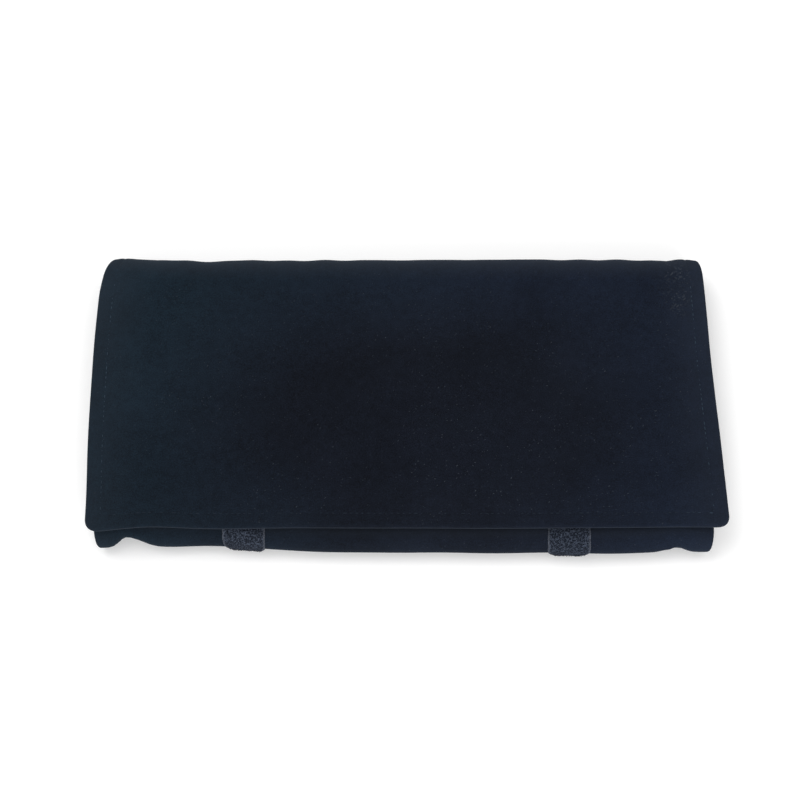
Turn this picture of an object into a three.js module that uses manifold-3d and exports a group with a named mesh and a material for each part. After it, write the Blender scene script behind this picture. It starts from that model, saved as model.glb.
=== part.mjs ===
// Necklace roll: a padded velvet case that folds in three like a letter and closes with two hook-and-loop tapes.
//
// Millimetres, +Z up. X runs across the roll, -Y is the front, where the flap's free edge lies, and +Y is the back.
// The origin is on the table, under the middle of the closed roll.
//
// From the table up, the closed roll holds the base panel, room for the chains, the chain pocket, the lower panel
// that folds in from the front, the loop tapes, the hook tapes, and the flap that folds over from the back.
// Necklace straps with press studs lie on the back half of the base panel.

import * as THREE from "three";
import { mergeVertices } from "three/addons/utils/BufferGeometryUtils.js";
import Module from "manifold-3d";

const wasm = await Module();
wasm.setup();

// Cloth, padding and seams
const VELVET = 0.8; // thickness of every velvet sheet
const LAYER_GAP = 0.3; // air between two layers that are sewn or pressed together
const BASE_FOAM = 2.6; // thickness of the base panel's foam
const LOWER_FOAM = 1.4; // thickness of the lower panel's foam
const FLAP_FOAM = 2.2; // thickness of the flap's foam
const SEAM_MARGIN = 7; // from a panel's edge to its row of stitching, with no foam in it
const PAD_SHOULDER = 5; // run over which a sheet climbs from the stitching onto the foam
const FLAP_CROWN = 0.8; // rise of the flap's middle above its shoulders
const CROWN_RUN = 28; // run over which the flap rises to its crown

// Panels and folds
const ROLL_WIDTH = 296; // across the base panel, the back fold and the flap
const LOWER_INSET = 4; // how far the front fold and the lower panel are drawn in at each side
const BASE_DEPTH = 147.3; // base panel, from fold to fold
const LOWER_DEPTH = 69; // lower panel, from the front fold to its free edge
const FLAP_DEPTH = 147.5; // flap, from the back fold to its free edge
const FREE_CORNER = 7; // radius of a panel's free corners
const FOLD_CORNER = 1.2; // radius of a panel's corners beside a fold
const FRONT_REACH = 6.2; // how far the front fold bulges past its panels
const BACK_REACH = 6.6; // how far the back fold bulges past its panels
const PINCH = 0.22; // share of the front fold's bulge that is lost at each pinch
const PINCH_FROM_END = 15; // from the front fold's end to its pinch
const PINCH_SPREAD = 8; // half width of a pinch

// Chain pocket on the inside of the lower panel
const CHAIN_ROOM = 4.2; // clear height between the base lining and the pocket
const POCKET_SHEET = 0.7; // thickness of the pocket's velvet
const POCKET_ROOM = 1.0; // height inside the pocket
const POCKET_DEPTH = 42; // from the pocket's mouth to its sewn end, without the elastic
const POCKET_SIDE = 12; // from the lower lining's flat part to the pocket's side
const ELASTIC_WIDTH = 7; // elastic band along the pocket's mouth

// Hook-and-loop tapes
const TAPE_WIDTH = 20;
const TAPE_SPACING = 149; // between the middles of the two tapes
const TAPE_SHIFT = 2.2; // how far the pair of tapes sits to the right of the roll's middle
const TAPE_CORNER = 2.5;
const LOOP_THICKNESS = 1.0;
const HOOK_THICKNESS = 0.8;
const LOOP_RUN = 40; // length of loop tape on the lower panel
const HOOK_RUN = 34; // length of hook tape under the flap
const HOOK_SETBACK = 6; // from the flap's free edge to the hook tape
const LOOP_WRAP = THREE.MathUtils.degToRad(54); // how far the loop tape turns under the front fold

// Necklace straps and press studs
const STRAP_COUNT = 8;
const STRAP_WIDTH = 12;
const STRAP_LENGTH = 40;
const STRAP_THICKNESS = 1.4;
const RAIL_HEIGHT = 3.8; // padded rail that the straps are sewn to
const RAIL_DEPTH = 8;
const RAIL_CORNER = 1.4;
const RAIL_SIDE = 6; // from the base lining's flat part to the rail's end
const STRAP_END = 3; // from the rail's end to the outer straps
const STUD_RADIUS = 5;
const STUD_FLANGE = 0.8;
const STUD_POST_RADIUS = 2.1;
const STUD_ENGAGEMENT = 1.6; // how far the stud's post goes into the socket
const SOCKET_WALL = 2.6;
const CAP_RADIUS = 5.5;
const CAP_RIM = 0.5; // height of the cap's rim
const CAP_DOME = 0.9; // rise of the cap's dome above its rim
const CAP_POST_RADIUS = 1.5;

// Fineness of the round shapes
const CORNER_STEPS = 4;
const FOLD_STEPS = 16;
const FOLD_STATIONS = 20;
const ROUND_SEGMENTS = 14;

// Levels of the closed stack
const SEWN_EDGE = 2 * VELVET + LAYER_GAP; // two sheets sewn together
const padThickness = (foam) => SEWN_EDGE + foam + LAYER_GAP;
const BASE_TOP = padThickness(BASE_FOAM);
const POCKET_BOTTOM = BASE_TOP + CHAIN_ROOM;
const LOWER_BOTTOM = POCKET_BOTTOM + POCKET_SHEET + POCKET_ROOM;
const LOWER_TOP = LOWER_BOTTOM + padThickness(LOWER_FOAM);
const LOOP_BOTTOM = LOWER_TOP + LAYER_GAP;
const HOOK_BOTTOM = LOOP_BOTTOM + LOOP_THICKNESS + LAYER_GAP;
const FLAP_BOTTOM = HOOK_BOTTOM + HOOK_THICKNESS + LAYER_GAP;
const FLAP_TOP = FLAP_BOTTOM + padThickness(FLAP_FOAM);
const STRAP_BOTTOM = BASE_TOP + LAYER_GAP + RAIL_HEIGHT + LAYER_GAP;

// Places from front to back: tape face, front fold, base panel, back fold
const ROLL_DEPTH = 2 * LAYER_GAP + LOOP_THICKNESS + FRONT_REACH + BASE_DEPTH + LAYER_GAP + BACK_REACH;
const FRONT_FOLD_LINE = -ROLL_DEPTH / 2 + LOOP_THICKNESS + LAYER_GAP + FRONT_REACH;
const BASE_FRONT = FRONT_FOLD_LINE + LAYER_GAP;
const BASE_BACK = BASE_FRONT + BASE_DEPTH;
const BACK_FOLD_LINE = BASE_BACK + LAYER_GAP;
const FLAT_INSET = SEAM_MARGIN + PAD_SHOULDER; // from a panel's edge to its flat padding

const black = (roughness, colour = 0x12151c) =>
  new THREE.MeshStandardMaterial({ color: colour, roughness, metalness: 0 });
const MATERIAL = {
  velvet: black(0.95),
  lining: black(0.9, 0x15181f),
  foam: black(1, 0x8b8b86),
  loop: black(1, 0x2a2c38),
  hook: black(0.6, 0x191a20),
  elastic: black(0.8, 0x101216),
  steel: new THREE.MeshStandardMaterial({ color: 0xb9bbc0, roughness: 0.3, metalness: 1 }),
};

// A mesh with a node's name.
function piece(name, geometry, material) {
  const mesh = new THREE.Mesh(geometry, material);
  mesh.name = name;
  return mesh;
}

// Six times the volume inside a closed triangle list, positive where the faces point out.
function signedVolume(points, index) {
  let total = 0;
  for (let i = 0; i < index.length; i += 3) {
    const [a, b, c] = [points[index[i]], points[index[i + 1]], points[index[i + 2]]];
    total += a.dot(b.clone().cross(c));
  }
  return total;
}

// A closed solid through rings of equal, even count. Each end is closed by rungs between the ring's two halves.
function ringLoft(rings) {
  const count = rings[0].length;
  const points = rings.flat();
  const index = [];
  for (let level = 0; level < rings.length - 1; level++) {
    for (let i = 0; i < count; i++) {
      const here = level * count + i;
      const next = level * count + ((i + 1) % count);
      index.push(here, here + count, next, next, here + count, next + count);
    }
  }
  const lastRing = (rings.length - 1) * count;
  for (let i = 0; i < count / 2 - 1; i++) {
    const [near, far] = [i + 1, count - 2 - i];
    index.push(i, near, far + 1, near, far, far + 1);
    index.push(lastRing + i, lastRing + far + 1, lastRing + near);
    index.push(lastRing + near, lastRing + far + 1, lastRing + far);
  }
  if (signedVolume(points, index) < 0) index.reverse();
  return new THREE.BufferGeometry().setFromPoints(points).setIndex(index);
}

// A panel's plan: a rectangle with its own corner radius at the front and at the back.
const plan = (width, front, back, frontCorner, backCorner) => ({ width, front, back, frontCorner, backCorner });

// The plan's outline at a height, drawn in by an inset, counter-clockwise from above.
function outline(shape, inset, height) {
  const halfWidth = shape.width / 2 - inset;
  const corners = [
    { x: 1, y: shape.front + inset, turn: 1, start: -90, radius: shape.frontCorner },
    { x: 1, y: shape.back - inset, turn: -1, start: 0, radius: shape.backCorner },
    { x: -1, y: shape.back - inset, turn: -1, start: 90, radius: shape.backCorner },
    { x: -1, y: shape.front + inset, turn: 1, start: 180, radius: shape.frontCorner },
  ];
  return corners.flatMap((corner) => {
    const radius = Math.max(corner.radius - inset, FOLD_CORNER / 2);
    return Array.from({ length: CORNER_STEPS + 1 }, (_, step) => {
      const angle = THREE.MathUtils.degToRad(corner.start + (90 * step) / CORNER_STEPS);
      return new THREE.Vector3(
        corner.x * (halfWidth - radius) + radius * Math.cos(angle),
        corner.y + corner.turn * radius + radius * Math.sin(angle),
        height,
      );
    });
  });
}

// A sheet between an upper and a lower profile, each a list of [inset, height] from the middle to the edge.
function sheet(shape, upper, lower) {
  const steps = [...upper, ...lower.slice().reverse()];
  return ringLoft(steps.map(([inset, height]) => outline(shape, inset, height)));
}

// A flat slab of the plan, drawn in by an inset.
function slab(shape, bottom, top, inset = 0) {
  return sheet(shape, [[inset, top]], [[inset, bottom]]);
}

// The profile of a sheet that lies at one height along its sewn edge and at another over the foam.
const padded = (edge, middle) => [
  [FLAT_INSET, middle],
  [SEAM_MARGIN, edge],
  [0, edge],
];

// The share of the front fold's bulge that stands at a place across the roll, with a pinch near each end.
function frontBulge(x) {
  const fromPinch = Math.abs(x) - (ROLL_WIDTH / 2 - LOWER_INSET - PINCH_FROM_END);
  return 1 - PINCH * Math.exp(-((fromPinch / PINCH_SPREAD) ** 2));
}

// A strip bent round a fold from one angle to the other, between two offsets inside the fold's outer face.
// The fold is half an ellipse of the given height that bulges from its line towards one side of Y.
function foldStrip(fold, fromX, toX, stations, offsets, angles = [-Math.PI / 2, Math.PI / 2]) {
  const arc = (x, offset) =>
    Array.from({ length: FOLD_STEPS + 1 }, (_, step) => {
      const angle = angles[0] + ((angles[1] - angles[0]) * step) / FOLD_STEPS;
      const bulge = (fold.reach - offset) * fold.share(x) * Math.cos(angle);
      const height = fold.height / 2 + (fold.height / 2 - offset) * Math.sin(angle);
      return new THREE.Vector3(x, fold.line + fold.side * bulge, height);
    });
  const rings = Array.from({ length: stations + 1 }, (_, station) => {
    const x = fromX + ((toX - fromX) * station) / stations;
    return [...arc(x, offsets[0]), ...arc(x, offsets[1]).reverse()];
  });
  return ringLoft(rings);
}

// A closed geometry as a solid that can be cut.
function solidOf(geometry) {
  const bare = geometry.clone();
  bare.deleteAttribute("normal");
  bare.deleteAttribute("uv");
  const merged = mergeVertices(bare);
  const vertProperties = merged.attributes.position.array;
  const triVerts = new Uint32Array(merged.index.array);
  return new wasm.Manifold(new wasm.Mesh({ numProp: 3, vertProperties, triVerts }));
}

// The first geometry less the second.
function cut(geometry, tool) {
  const mesh = solidOf(geometry).subtract(solidOf(tool)).getMesh();
  return new THREE.BufferGeometry()
    .setAttribute("position", new THREE.BufferAttribute(mesh.vertProperties, 3))
    .setIndex(new THREE.BufferAttribute(mesh.triVerts, 1));
}

// A box between two corners.
function boxBetween(low, high) {
  const size = high.clone().sub(low);
  const middle = low.clone().add(high).multiplyScalar(0.5);
  return new THREE.BoxGeometry(size.x, size.y, size.z).translate(middle.x, middle.y, middle.z);
}

// A solid of revolution about Z from [radius, height] points.
function turned(points) {
  const profile = points.map(([radius, height]) => new THREE.Vector2(radius, height));
  return new THREE.LatheGeometry(profile, ROUND_SEGMENTS).rotateX(Math.PI / 2);
}

const basePlan = plan(ROLL_WIDTH, BASE_FRONT, BASE_BACK, FOLD_CORNER, FOLD_CORNER);
const lowerWidth = ROLL_WIDTH - 2 * LOWER_INSET;
const lowerPlan = plan(lowerWidth, BASE_FRONT, BASE_FRONT + LOWER_DEPTH, FOLD_CORNER, FREE_CORNER);
const flapPlan = plan(ROLL_WIDTH, BASE_BACK - FLAP_DEPTH, BASE_BACK, FREE_CORNER, FOLD_CORNER);
const foamInset = FLAT_INSET + LAYER_GAP;
const sides = [
  ["left", -1],
  ["right", 1],
];

// Base panel: flat cover on the table, foam, and a lining that is drawn down to the cover along its edges.
function basePanel() {
  const group = new THREE.Group();
  const foamBottom = VELVET + LAYER_GAP;
  const lining = sheet(
    basePlan,
    padded(SEWN_EDGE, BASE_TOP),
    padded(SEWN_EDGE - VELVET, BASE_TOP - VELVET),
  );
  group.add(
    piece("base_cover", slab(basePlan, 0, VELVET), MATERIAL.velvet),
    piece("base_foam", slab(basePlan, foamBottom, foamBottom + BASE_FOAM, foamInset), MATERIAL.foam),
    piece("base_lining", lining, MATERIAL.lining),
  );
  return group;
}

// Flap: flat lining underneath, foam, and a crowned cover that is drawn down to the lining along its edges.
function flap() {
  const group = new THREE.Group();
  const edge = FLAP_BOTTOM + SEWN_EDGE;
  const foamBottom = FLAP_BOTTOM + VELVET + LAYER_GAP;
  const crowned = (drop) => [
    [FLAT_INSET + CROWN_RUN, FLAP_TOP + FLAP_CROWN - drop],
    ...padded(edge - drop, FLAP_TOP - drop),
  ];
  group.add(
    piece("flap_cover", sheet(flapPlan, crowned(0), crowned(VELVET)), MATERIAL.velvet),
    piece("flap_foam", slab(flapPlan, foamBottom, foamBottom + FLAP_FOAM, foamInset), MATERIAL.foam),
    piece("flap_lining", slab(flapPlan, FLAP_BOTTOM, FLAP_BOTTOM + VELVET), MATERIAL.lining),
  );
  const front = flapPlan.front + HOOK_SETBACK;
  const tapePlan = plan(TAPE_WIDTH, front, front + HOOK_RUN, TAPE_CORNER, TAPE_CORNER);
  for (const [side, sign] of sides) {
    const tape = piece(
      `hook_tape_${side}`,
      slab(tapePlan, HOOK_BOTTOM, HOOK_BOTTOM + HOOK_THICKNESS),
      MATERIAL.hook,
    );
    tape.position.x = TAPE_SHIFT + (sign * TAPE_SPACING) / 2;
    group.add(tape);
  }
  return group;
}

// Lower panel: flat cover that faces up under the flap, foam, and a lining that holds the chain pocket.
function lowerPanel() {
  const group = new THREE.Group();
  const foamTop = LOWER_TOP - VELVET - LAYER_GAP;
  const edge = LOWER_TOP - SEWN_EDGE;
  const lining = sheet(lowerPlan, padded(edge + VELVET, LOWER_BOTTOM + VELVET), padded(edge, LOWER_BOTTOM));
  group.add(
    piece("lower_cover", slab(lowerPlan, LOWER_TOP - VELVET, LOWER_TOP), MATERIAL.velvet),
    piece("lower_foam", slab(lowerPlan, foamTop - LOWER_FOAM, foamTop, foamInset), MATERIAL.foam),
    piece("lower_lining", lining, MATERIAL.lining),
  );
  const tapePlan = plan(TAPE_WIDTH, BASE_FRONT, BASE_FRONT + LOOP_RUN, FOLD_CORNER, TAPE_CORNER);
  for (const [side, sign] of sides) {
    const tape = piece(
      `loop_tape_${side}_top`,
      slab(tapePlan, LOOP_BOTTOM, LOOP_BOTTOM + LOOP_THICKNESS),
      MATERIAL.loop,
    );
    tape.position.x = TAPE_SHIFT + (sign * TAPE_SPACING) / 2;
    group.add(tape);
  }
  return group;
}

// Chain pocket: a sheet sewn to the lower lining along its sides and its inner end, with elastic along its mouth.
function chainPocket() {
  const group = new THREE.Group();
  const halfWidth = lowerWidth / 2 - FLAT_INSET - POCKET_SIDE;
  const end = lowerPlan.back - FLAT_INSET;
  const mouth = end - POCKET_DEPTH;
  const wall = POCKET_SHEET;
  const seam = LOWER_BOTTOM - LAYER_GAP;
  const whole = boxBetween(
    new THREE.Vector3(-halfWidth, mouth, POCKET_BOTTOM),
    new THREE.Vector3(halfWidth, end, seam),
  );
  const inside = boxBetween(
    new THREE.Vector3(wall - halfWidth, mouth - wall, POCKET_BOTTOM + POCKET_SHEET),
    new THREE.Vector3(halfWidth - wall, end - wall, LOWER_BOTTOM),
  );
  const band = plan(2 * halfWidth, mouth - LAYER_GAP - ELASTIC_WIDTH, mouth - LAYER_GAP, FOLD_CORNER, FOLD_CORNER);
  group.add(
    piece("chain_pocket", cut(whole, inside), MATERIAL.lining),
    piece("pocket_elastic", slab(band, POCKET_BOTTOM, POCKET_BOTTOM + POCKET_SHEET), MATERIAL.elastic),
  );
  return group;
}

// Back fold: cover and lining bent from the base panel up to the flap.
function backFold() {
  const group = new THREE.Group();
  const fold = {
    line: BACK_FOLD_LINE,
    side: 1,
    reach: BACK_REACH,
    height: FLAP_BOTTOM + SEWN_EDGE,
    share: () => 1,
  };
  const end = ROLL_WIDTH / 2;
  group.add(
    piece("back_fold_cover", foldStrip(fold, -end, end, 1, [0, VELVET]), MATERIAL.velvet),
    piece("back_fold_lining", foldStrip(fold, -end, end, 1, [SEWN_EDGE - VELVET, SEWN_EDGE]), MATERIAL.lining),
  );
  return group;
}

// Front fold: cover and lining bent from the base panel up to the lower panel, and the loop tapes wrapped round it.
function frontFold() {
  const group = new THREE.Group();
  const fold = {
    line: FRONT_FOLD_LINE,
    side: -1,
    reach: FRONT_REACH,
    height: LOWER_TOP,
    share: frontBulge,
  };
  const end = lowerWidth / 2;
  const liningOffsets = [SEWN_EDGE - VELVET, SEWN_EDGE];
  group.add(
    piece("front_fold_cover", foldStrip(fold, -end, end, FOLD_STATIONS, [0, VELVET]), MATERIAL.velvet),
    piece("front_fold_lining", foldStrip(fold, -end, end, FOLD_STATIONS, liningOffsets), MATERIAL.lining),
  );
  const tapeOffsets = [-LAYER_GAP - LOOP_THICKNESS, -LAYER_GAP];
  for (const [side, sign] of sides) {
    const middle = TAPE_SHIFT + (sign * TAPE_SPACING) / 2;
    const from = middle - TAPE_WIDTH / 2;
    const wrap = foldStrip(fold, from, from + TAPE_WIDTH, 1, tapeOffsets, [-LOOP_WRAP, Math.PI / 2]);
    group.add(piece(`loop_tape_${side}_front`, wrap, MATERIAL.loop));
  }
  return group;
}

// Necklace straps on their rail, each with a press stud: stud on the base lining, socket and cap on the strap.
function necklaceStraps() {
  const group = new THREE.Group();
  const railBack = BASE_BACK - FLAT_INSET - LAYER_GAP;
  const railLength = ROLL_WIDTH - 2 * (FLAT_INSET + RAIL_SIDE);
  const section = plan(RAIL_DEPTH, 0, RAIL_HEIGHT, RAIL_CORNER, RAIL_CORNER);
  const railEnds = [-railLength / 2, railLength / 2];
  const railRings = railEnds.map((x) =>
    outline(section, 0, 0).map(
      (p) => new THREE.Vector3(x, railBack - RAIL_DEPTH / 2 + p.x, BASE_TOP + LAYER_GAP + p.y),
    ),
  );
  group.add(piece("strap_rail", ringLoft(railRings), MATERIAL.lining));

  const snapY = railBack - STRAP_LENGTH + STRAP_WIDTH / 2;
  const pitch = (railLength - 2 * STRAP_END - STRAP_WIDTH) / (STRAP_COUNT - 1);
  const studSeat = BASE_TOP + LAYER_GAP;
  const socketBottom = studSeat + STUD_FLANGE + LAYER_GAP;
  const socketTop = STRAP_BOTTOM - LAYER_GAP;
  const socketBore = STUD_POST_RADIUS + LAYER_GAP;
  const capSeat = STRAP_BOTTOM + STRAP_THICKNESS + LAYER_GAP;

  const strapShape = new THREE.Shape();
  strapShape.moveTo(-STRAP_WIDTH / 2, railBack - snapY);
  strapShape.lineTo(-STRAP_WIDTH / 2, 0);
  strapShape.absarc(0, 0, STRAP_WIDTH / 2, Math.PI, 2 * Math.PI);
  strapShape.lineTo(STRAP_WIDTH / 2, railBack - snapY);
  strapShape.holes.push(new THREE.Path().absarc(0, 0, CAP_POST_RADIUS + LAYER_GAP, 0, 2 * Math.PI));
  const strapGeometry = new THREE.ExtrudeGeometry(strapShape, {
    depth: STRAP_THICKNESS,
    bevelEnabled: false,
    curveSegments: CORNER_STEPS * 2,
  }).translate(0, 0, STRAP_BOTTOM);

  const studGeometry = turned([
    [0, studSeat],
    [STUD_RADIUS, studSeat],
    [STUD_RADIUS, studSeat + STUD_FLANGE],
    [STUD_POST_RADIUS, studSeat + STUD_FLANGE],
    [STUD_POST_RADIUS, socketBottom + STUD_ENGAGEMENT],
    [0, socketBottom + STUD_ENGAGEMENT],
  ]);
  const socketGeometry = turned([
    [socketBore, socketBottom],
    [socketBore + SOCKET_WALL, socketBottom],
    [socketBore + SOCKET_WALL, socketTop],
    [socketBore, socketTop],
    [socketBore, socketBottom],
  ]);
  const capGeometry = turned([
    [0, STRAP_BOTTOM],
    [CAP_POST_RADIUS, STRAP_BOTTOM],
    [CAP_POST_RADIUS, capSeat],
    [CAP_RADIUS, capSeat],
    [CAP_RADIUS, capSeat + CAP_RIM],
    [CAP_RADIUS / 2, capSeat + CAP_RIM + (CAP_DOME * 3) / 4],
    [0, capSeat + CAP_RIM + CAP_DOME],
  ]);

  for (let n = 1; n <= STRAP_COUNT; n++) {
    const strap = new THREE.Group();
    strap.position.set((n - (STRAP_COUNT + 1) / 2) * pitch, snapY, 0);
    strap.add(
      piece(`strap_${n}`, strapGeometry, MATERIAL.lining),
      piece(`snap_stud_${n}`, studGeometry, MATERIAL.steel),
      piece(`snap_socket_${n}`, socketGeometry, MATERIAL.steel),
      piece(`snap_cap_${n}`, capGeometry, MATERIAL.steel),
    );
    group.add(strap);
  }
  return group;
}

const necklaceRoll = new THREE.Group();
necklaceRoll.add(basePanel(), necklaceStraps(), backFold(), flap(), frontFold(), lowerPanel(), chainPocket());

export default necklaceRoll;
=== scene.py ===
"""Dressed necklace roll: velvet panels, bends, tapes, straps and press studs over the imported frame.

Sizes are millimetres until a mesh is written, which is in metres. X runs across the roll, -Y is the front, where the
flap's free edge lies, +Y is the back and +Z is up. The cloth of the roll is one long strip with sewn side edges: the
lower panel, the front bend, the base panel, the back bend and the flap follow each other along it.
"""

import logging
import math
import random
from contextlib import contextmanager
from dataclasses import dataclass
from enum import Enum
from functools import cache, partial
from typing import Callable, Iterator, Sequence

import bpy
import numpy as np
from mathutils import Matrix, Vector


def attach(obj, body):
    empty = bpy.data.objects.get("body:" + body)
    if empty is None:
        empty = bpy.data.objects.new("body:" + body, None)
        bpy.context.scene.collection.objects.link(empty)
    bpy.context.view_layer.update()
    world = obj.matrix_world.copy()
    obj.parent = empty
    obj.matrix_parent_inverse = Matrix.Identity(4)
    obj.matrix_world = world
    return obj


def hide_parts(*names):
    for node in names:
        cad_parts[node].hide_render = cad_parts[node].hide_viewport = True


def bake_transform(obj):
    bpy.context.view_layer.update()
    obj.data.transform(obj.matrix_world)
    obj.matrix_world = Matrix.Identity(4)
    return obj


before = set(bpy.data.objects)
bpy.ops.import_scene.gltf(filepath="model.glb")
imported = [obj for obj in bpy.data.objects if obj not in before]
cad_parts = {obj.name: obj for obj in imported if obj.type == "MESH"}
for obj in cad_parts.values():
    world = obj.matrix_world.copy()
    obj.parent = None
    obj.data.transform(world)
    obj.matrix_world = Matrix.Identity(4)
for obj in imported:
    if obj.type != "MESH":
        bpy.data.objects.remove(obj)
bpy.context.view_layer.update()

MM = 0.001
VELVET_THICKNESS = 0.8
FAR = 1000.0
UP = (0, 0, 1)
DOWN = (0, 0, -1)
SIDES = (-1, 1)
LOG = logging.getLogger("necklace_roll")
Colour = tuple[float, float, float]
Place = tuple[float, float, float]
Span = tuple[float, float]
Array = np.ndarray
Piece = bpy.types.Object
Socket = bpy.types.NodeSocket
Surface = tuple[Socket, Socket]


class Slot(Enum):
    """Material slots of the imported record."""

    VELVET = "velvet"
    LINING = "lining"
    FOAM = "foam"
    LOOP = "loop_tape"
    HOOK = "hook_tape"
    ELASTIC = "elastic"
    STEEL = "steel"


class Hold(Enum):
    """How a sheet of cloth is held."""

    STRETCHED = "stretched"
    FOLDED = "folded"
    LAID = "laid"
    GATHERED = "gathered"


# Modelling by operators


def take(piece: Piece) -> None:
    """Makes one piece the only selected one and the active one."""
    bpy.ops.object.select_all(action="DESELECT")
    piece.select_set(True)
    bpy.context.view_layer.objects.active = piece


def added(name: str) -> Piece:
    """Names the object that an operator has just added, and its mesh."""
    piece = bpy.context.active_object
    piece.name = name
    piece.data.name = name
    return piece


def settle(piece: Piece) -> None:
    """Puts a piece's place, turn and scale into its mesh."""
    take(piece)
    bpy.ops.object.transform_apply(location=True, rotation=True, scale=True)


@contextmanager
def editing(piece: Piece) -> Iterator[None]:
    """Holds a piece in edit mode, all of it selected, for the length of a with block."""
    take(piece)
    bpy.ops.object.mode_set(mode="EDIT")
    bpy.ops.mesh.select_all(action="SELECT")
    yield
    bpy.ops.object.mode_set(mode="OBJECT")


def finish_with(piece: Piece, kind: str, **values: object) -> None:
    """Adds a modifier to a piece and applies it.

    Args:
        piece: The piece to change.
        kind: Blender's name for the modifier.
        **values: The modifier's settings.
    """
    modifier = piece.modifiers.new(kind.title(), kind)
    for key, value in values.items():
        setattr(modifier, key, value)
    take(piece)
    bpy.ops.object.modifier_apply(modifier=modifier.name)


def rounded(piece: Piece, width: float, segments: int = 2, **values: object) -> None:
    """Rounds the sharp edges of a piece by a width in mm."""
    finish_with(piece, "BEVEL", width=width * MM, segments=segments, limit_method="ANGLE", **values)


def smooth(piece: Piece, degrees: float = 50) -> None:
    """Shades a piece smooth, but for edges that turn by more than an angle."""
    take(piece)
    bpy.ops.object.shade_smooth_by_angle(angle=math.radians(degrees))


def turn_faces(piece: Piece) -> None:
    """Turns all faces of an open sheet to its other side."""
    with editing(piece):
        bpy.ops.mesh.flip_normals()


@dataclass(frozen=True)
class Swelling:
    """Cloth simulation of a sewn sheet that its padding pushes out between the lines that hold it."""

    pressure: float = 0.15
    slack: float = 0.0004
    tension: float = 12
    bending: float = 0.02
    most: float = 0.7
    frames: int = 20

    def run(self, piece: Piece, held: Array) -> None:
        """Runs the simulation on a sheet that is one face thick and keeps its result.

        Args:
            piece: The sheet.
            held: How firmly each vertex is held, from 0 to 1.
        """
        group = piece.vertex_groups.new(name="held")
        for index, share in enumerate(held):
            group.add([index], float(share), "REPLACE")
        before = places_of(piece)
        cloth = piece.modifiers.new("Cloth", "CLOTH")
        cloth.point_cache.frame_start = 1
        cloth.point_cache.frame_end = self.frames
        values = cloth.settings
        values.vertex_group_mass = group.name
        values.use_pressure = True
        values.uniform_pressure_force = self.pressure
        values.shrink_min = -self.slack
        values.tension_stiffness = self.tension
        values.compression_stiffness = self.tension
        values.bending_stiffness = self.bending
        values.effector_weights.gravity = 0
        scene = bpy.context.scene
        for number in range(1, self.frames + 1):
            scene.frame_set(number)
        take(piece)
        bpy.ops.object.modifier_apply(modifier=cloth.name)
        scene.frame_set(1)
        piece.vertex_groups.clear()
        moved = places_of(piece) - before
        length = np.linalg.norm(moved, axis=1, keepdims=True) + 1e-9
        kept = self.most * MM * np.tanh(length / (self.most * MM))
        piece.data.vertices.foreach_set("co", (before + moved * kept / length).ravel())
        piece.data.update()
        LOG.info("%s swells by up to %.2f mm of %.2f mm", piece.name, kept.max() / MM, length.max() / MM)


def places_of(piece: Piece) -> Array:
    """Gives the places of a mesh's vertices in metres."""
    flat = np.empty(len(piece.data.vertices) * 3)
    piece.data.vertices.foreach_get("co", flat)
    return flat.reshape(-1, 3)


def sheet_from_net(
    name: str,
    net: Array,
    thickness: float,
    outer_up: bool = True,
    rub: Array | None = None,
    held: Array | None = None,
) -> Piece:
    """Adds a grid, lays its vertices on a net of points and gives the sheet its thickness.

    Args:
        name: The piece's name.
        net: Points of the sheet's outer face, rows by columns by 3, in mm.
        thickness: The sheet's thickness in mm, which lies behind that face.
        outer_up: Whether the outer face looks up where rows run to +Y and columns to +X.
        rub: How far each point is painted paler, from 0 to 1, kept as a mesh attribute.
        held: How firmly each point is held while the padding swells the sheet, if it does.

    Returns:
        The closed sheet.
    """
    rows, columns = net.shape[:2]
    bpy.ops.object.select_all(action="DESELECT")
    bpy.ops.mesh.primitive_grid_add(x_subdivisions=columns - 1, y_subdivisions=rows - 1, size=1)
    piece = added(name)
    share = places_of(piece)[:, :2] + 0.5
    place = np.rint(share * (columns - 1, rows - 1)).astype(int)
    piece.data.vertices.foreach_set("co", (net[place[:, 1], place[:, 0]] * MM).ravel())
    piece.data.update()
    if rub is not None:
        layer = piece.data.attributes.new("rub", "FLOAT", "POINT")
        layer.data.foreach_set("value", rub[place[:, 1], place[:, 0]].astype(np.float32))
    if not outer_up:
        turn_faces(piece)
    if held is not None:
        Swelling().run(piece, held[place[:, 1], place[:, 0]])
    finish_with(piece, "SOLIDIFY", thickness=thickness * MM, offset=-1)
    smooth(piece)
    return piece


def flat_size(net: Array) -> Span:
    """Measures a net along its middle row and its middle column.

    Args:
        net: Points of a sheet, in mm.

    Returns:
        The sheet's width and length before it was bent, in metres.
    """
    row = net[net.shape[0] // 2]
    column = net[:, net.shape[1] // 2]
    return tuple(float(np.linalg.norm(np.diff(line, axis=0), axis=1).sum()) * MM for line in (row, column))


def flat_net(x: Array, y: Array, z: float) -> Array:
    """Gives a level net of points from places across and along the roll, in mm."""
    across, along = np.meshgrid(x, y)
    return np.stack([across, along, np.full(across.shape, z)], axis=-1)


def placed(name: str, data: bpy.types.ID) -> Piece:
    """Puts a mesh, a curve, a light or a camera into the scene as an object."""
    piece = bpy.data.objects.new(name, data)
    bpy.context.scene.collection.objects.link(piece)
    return piece


def rod(name: str, vertices: int, radius: float, length: float) -> Piece:
    """Adds a rod along X, with its radius and its length in metres."""
    bpy.ops.object.select_all(action="DESELECT")
    bpy.ops.mesh.primitive_cylinder_add(vertices=vertices, radius=radius, depth=length, rotation=(0, math.pi / 2, 0))
    piece = added(name)
    settle(piece)
    return piece


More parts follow.
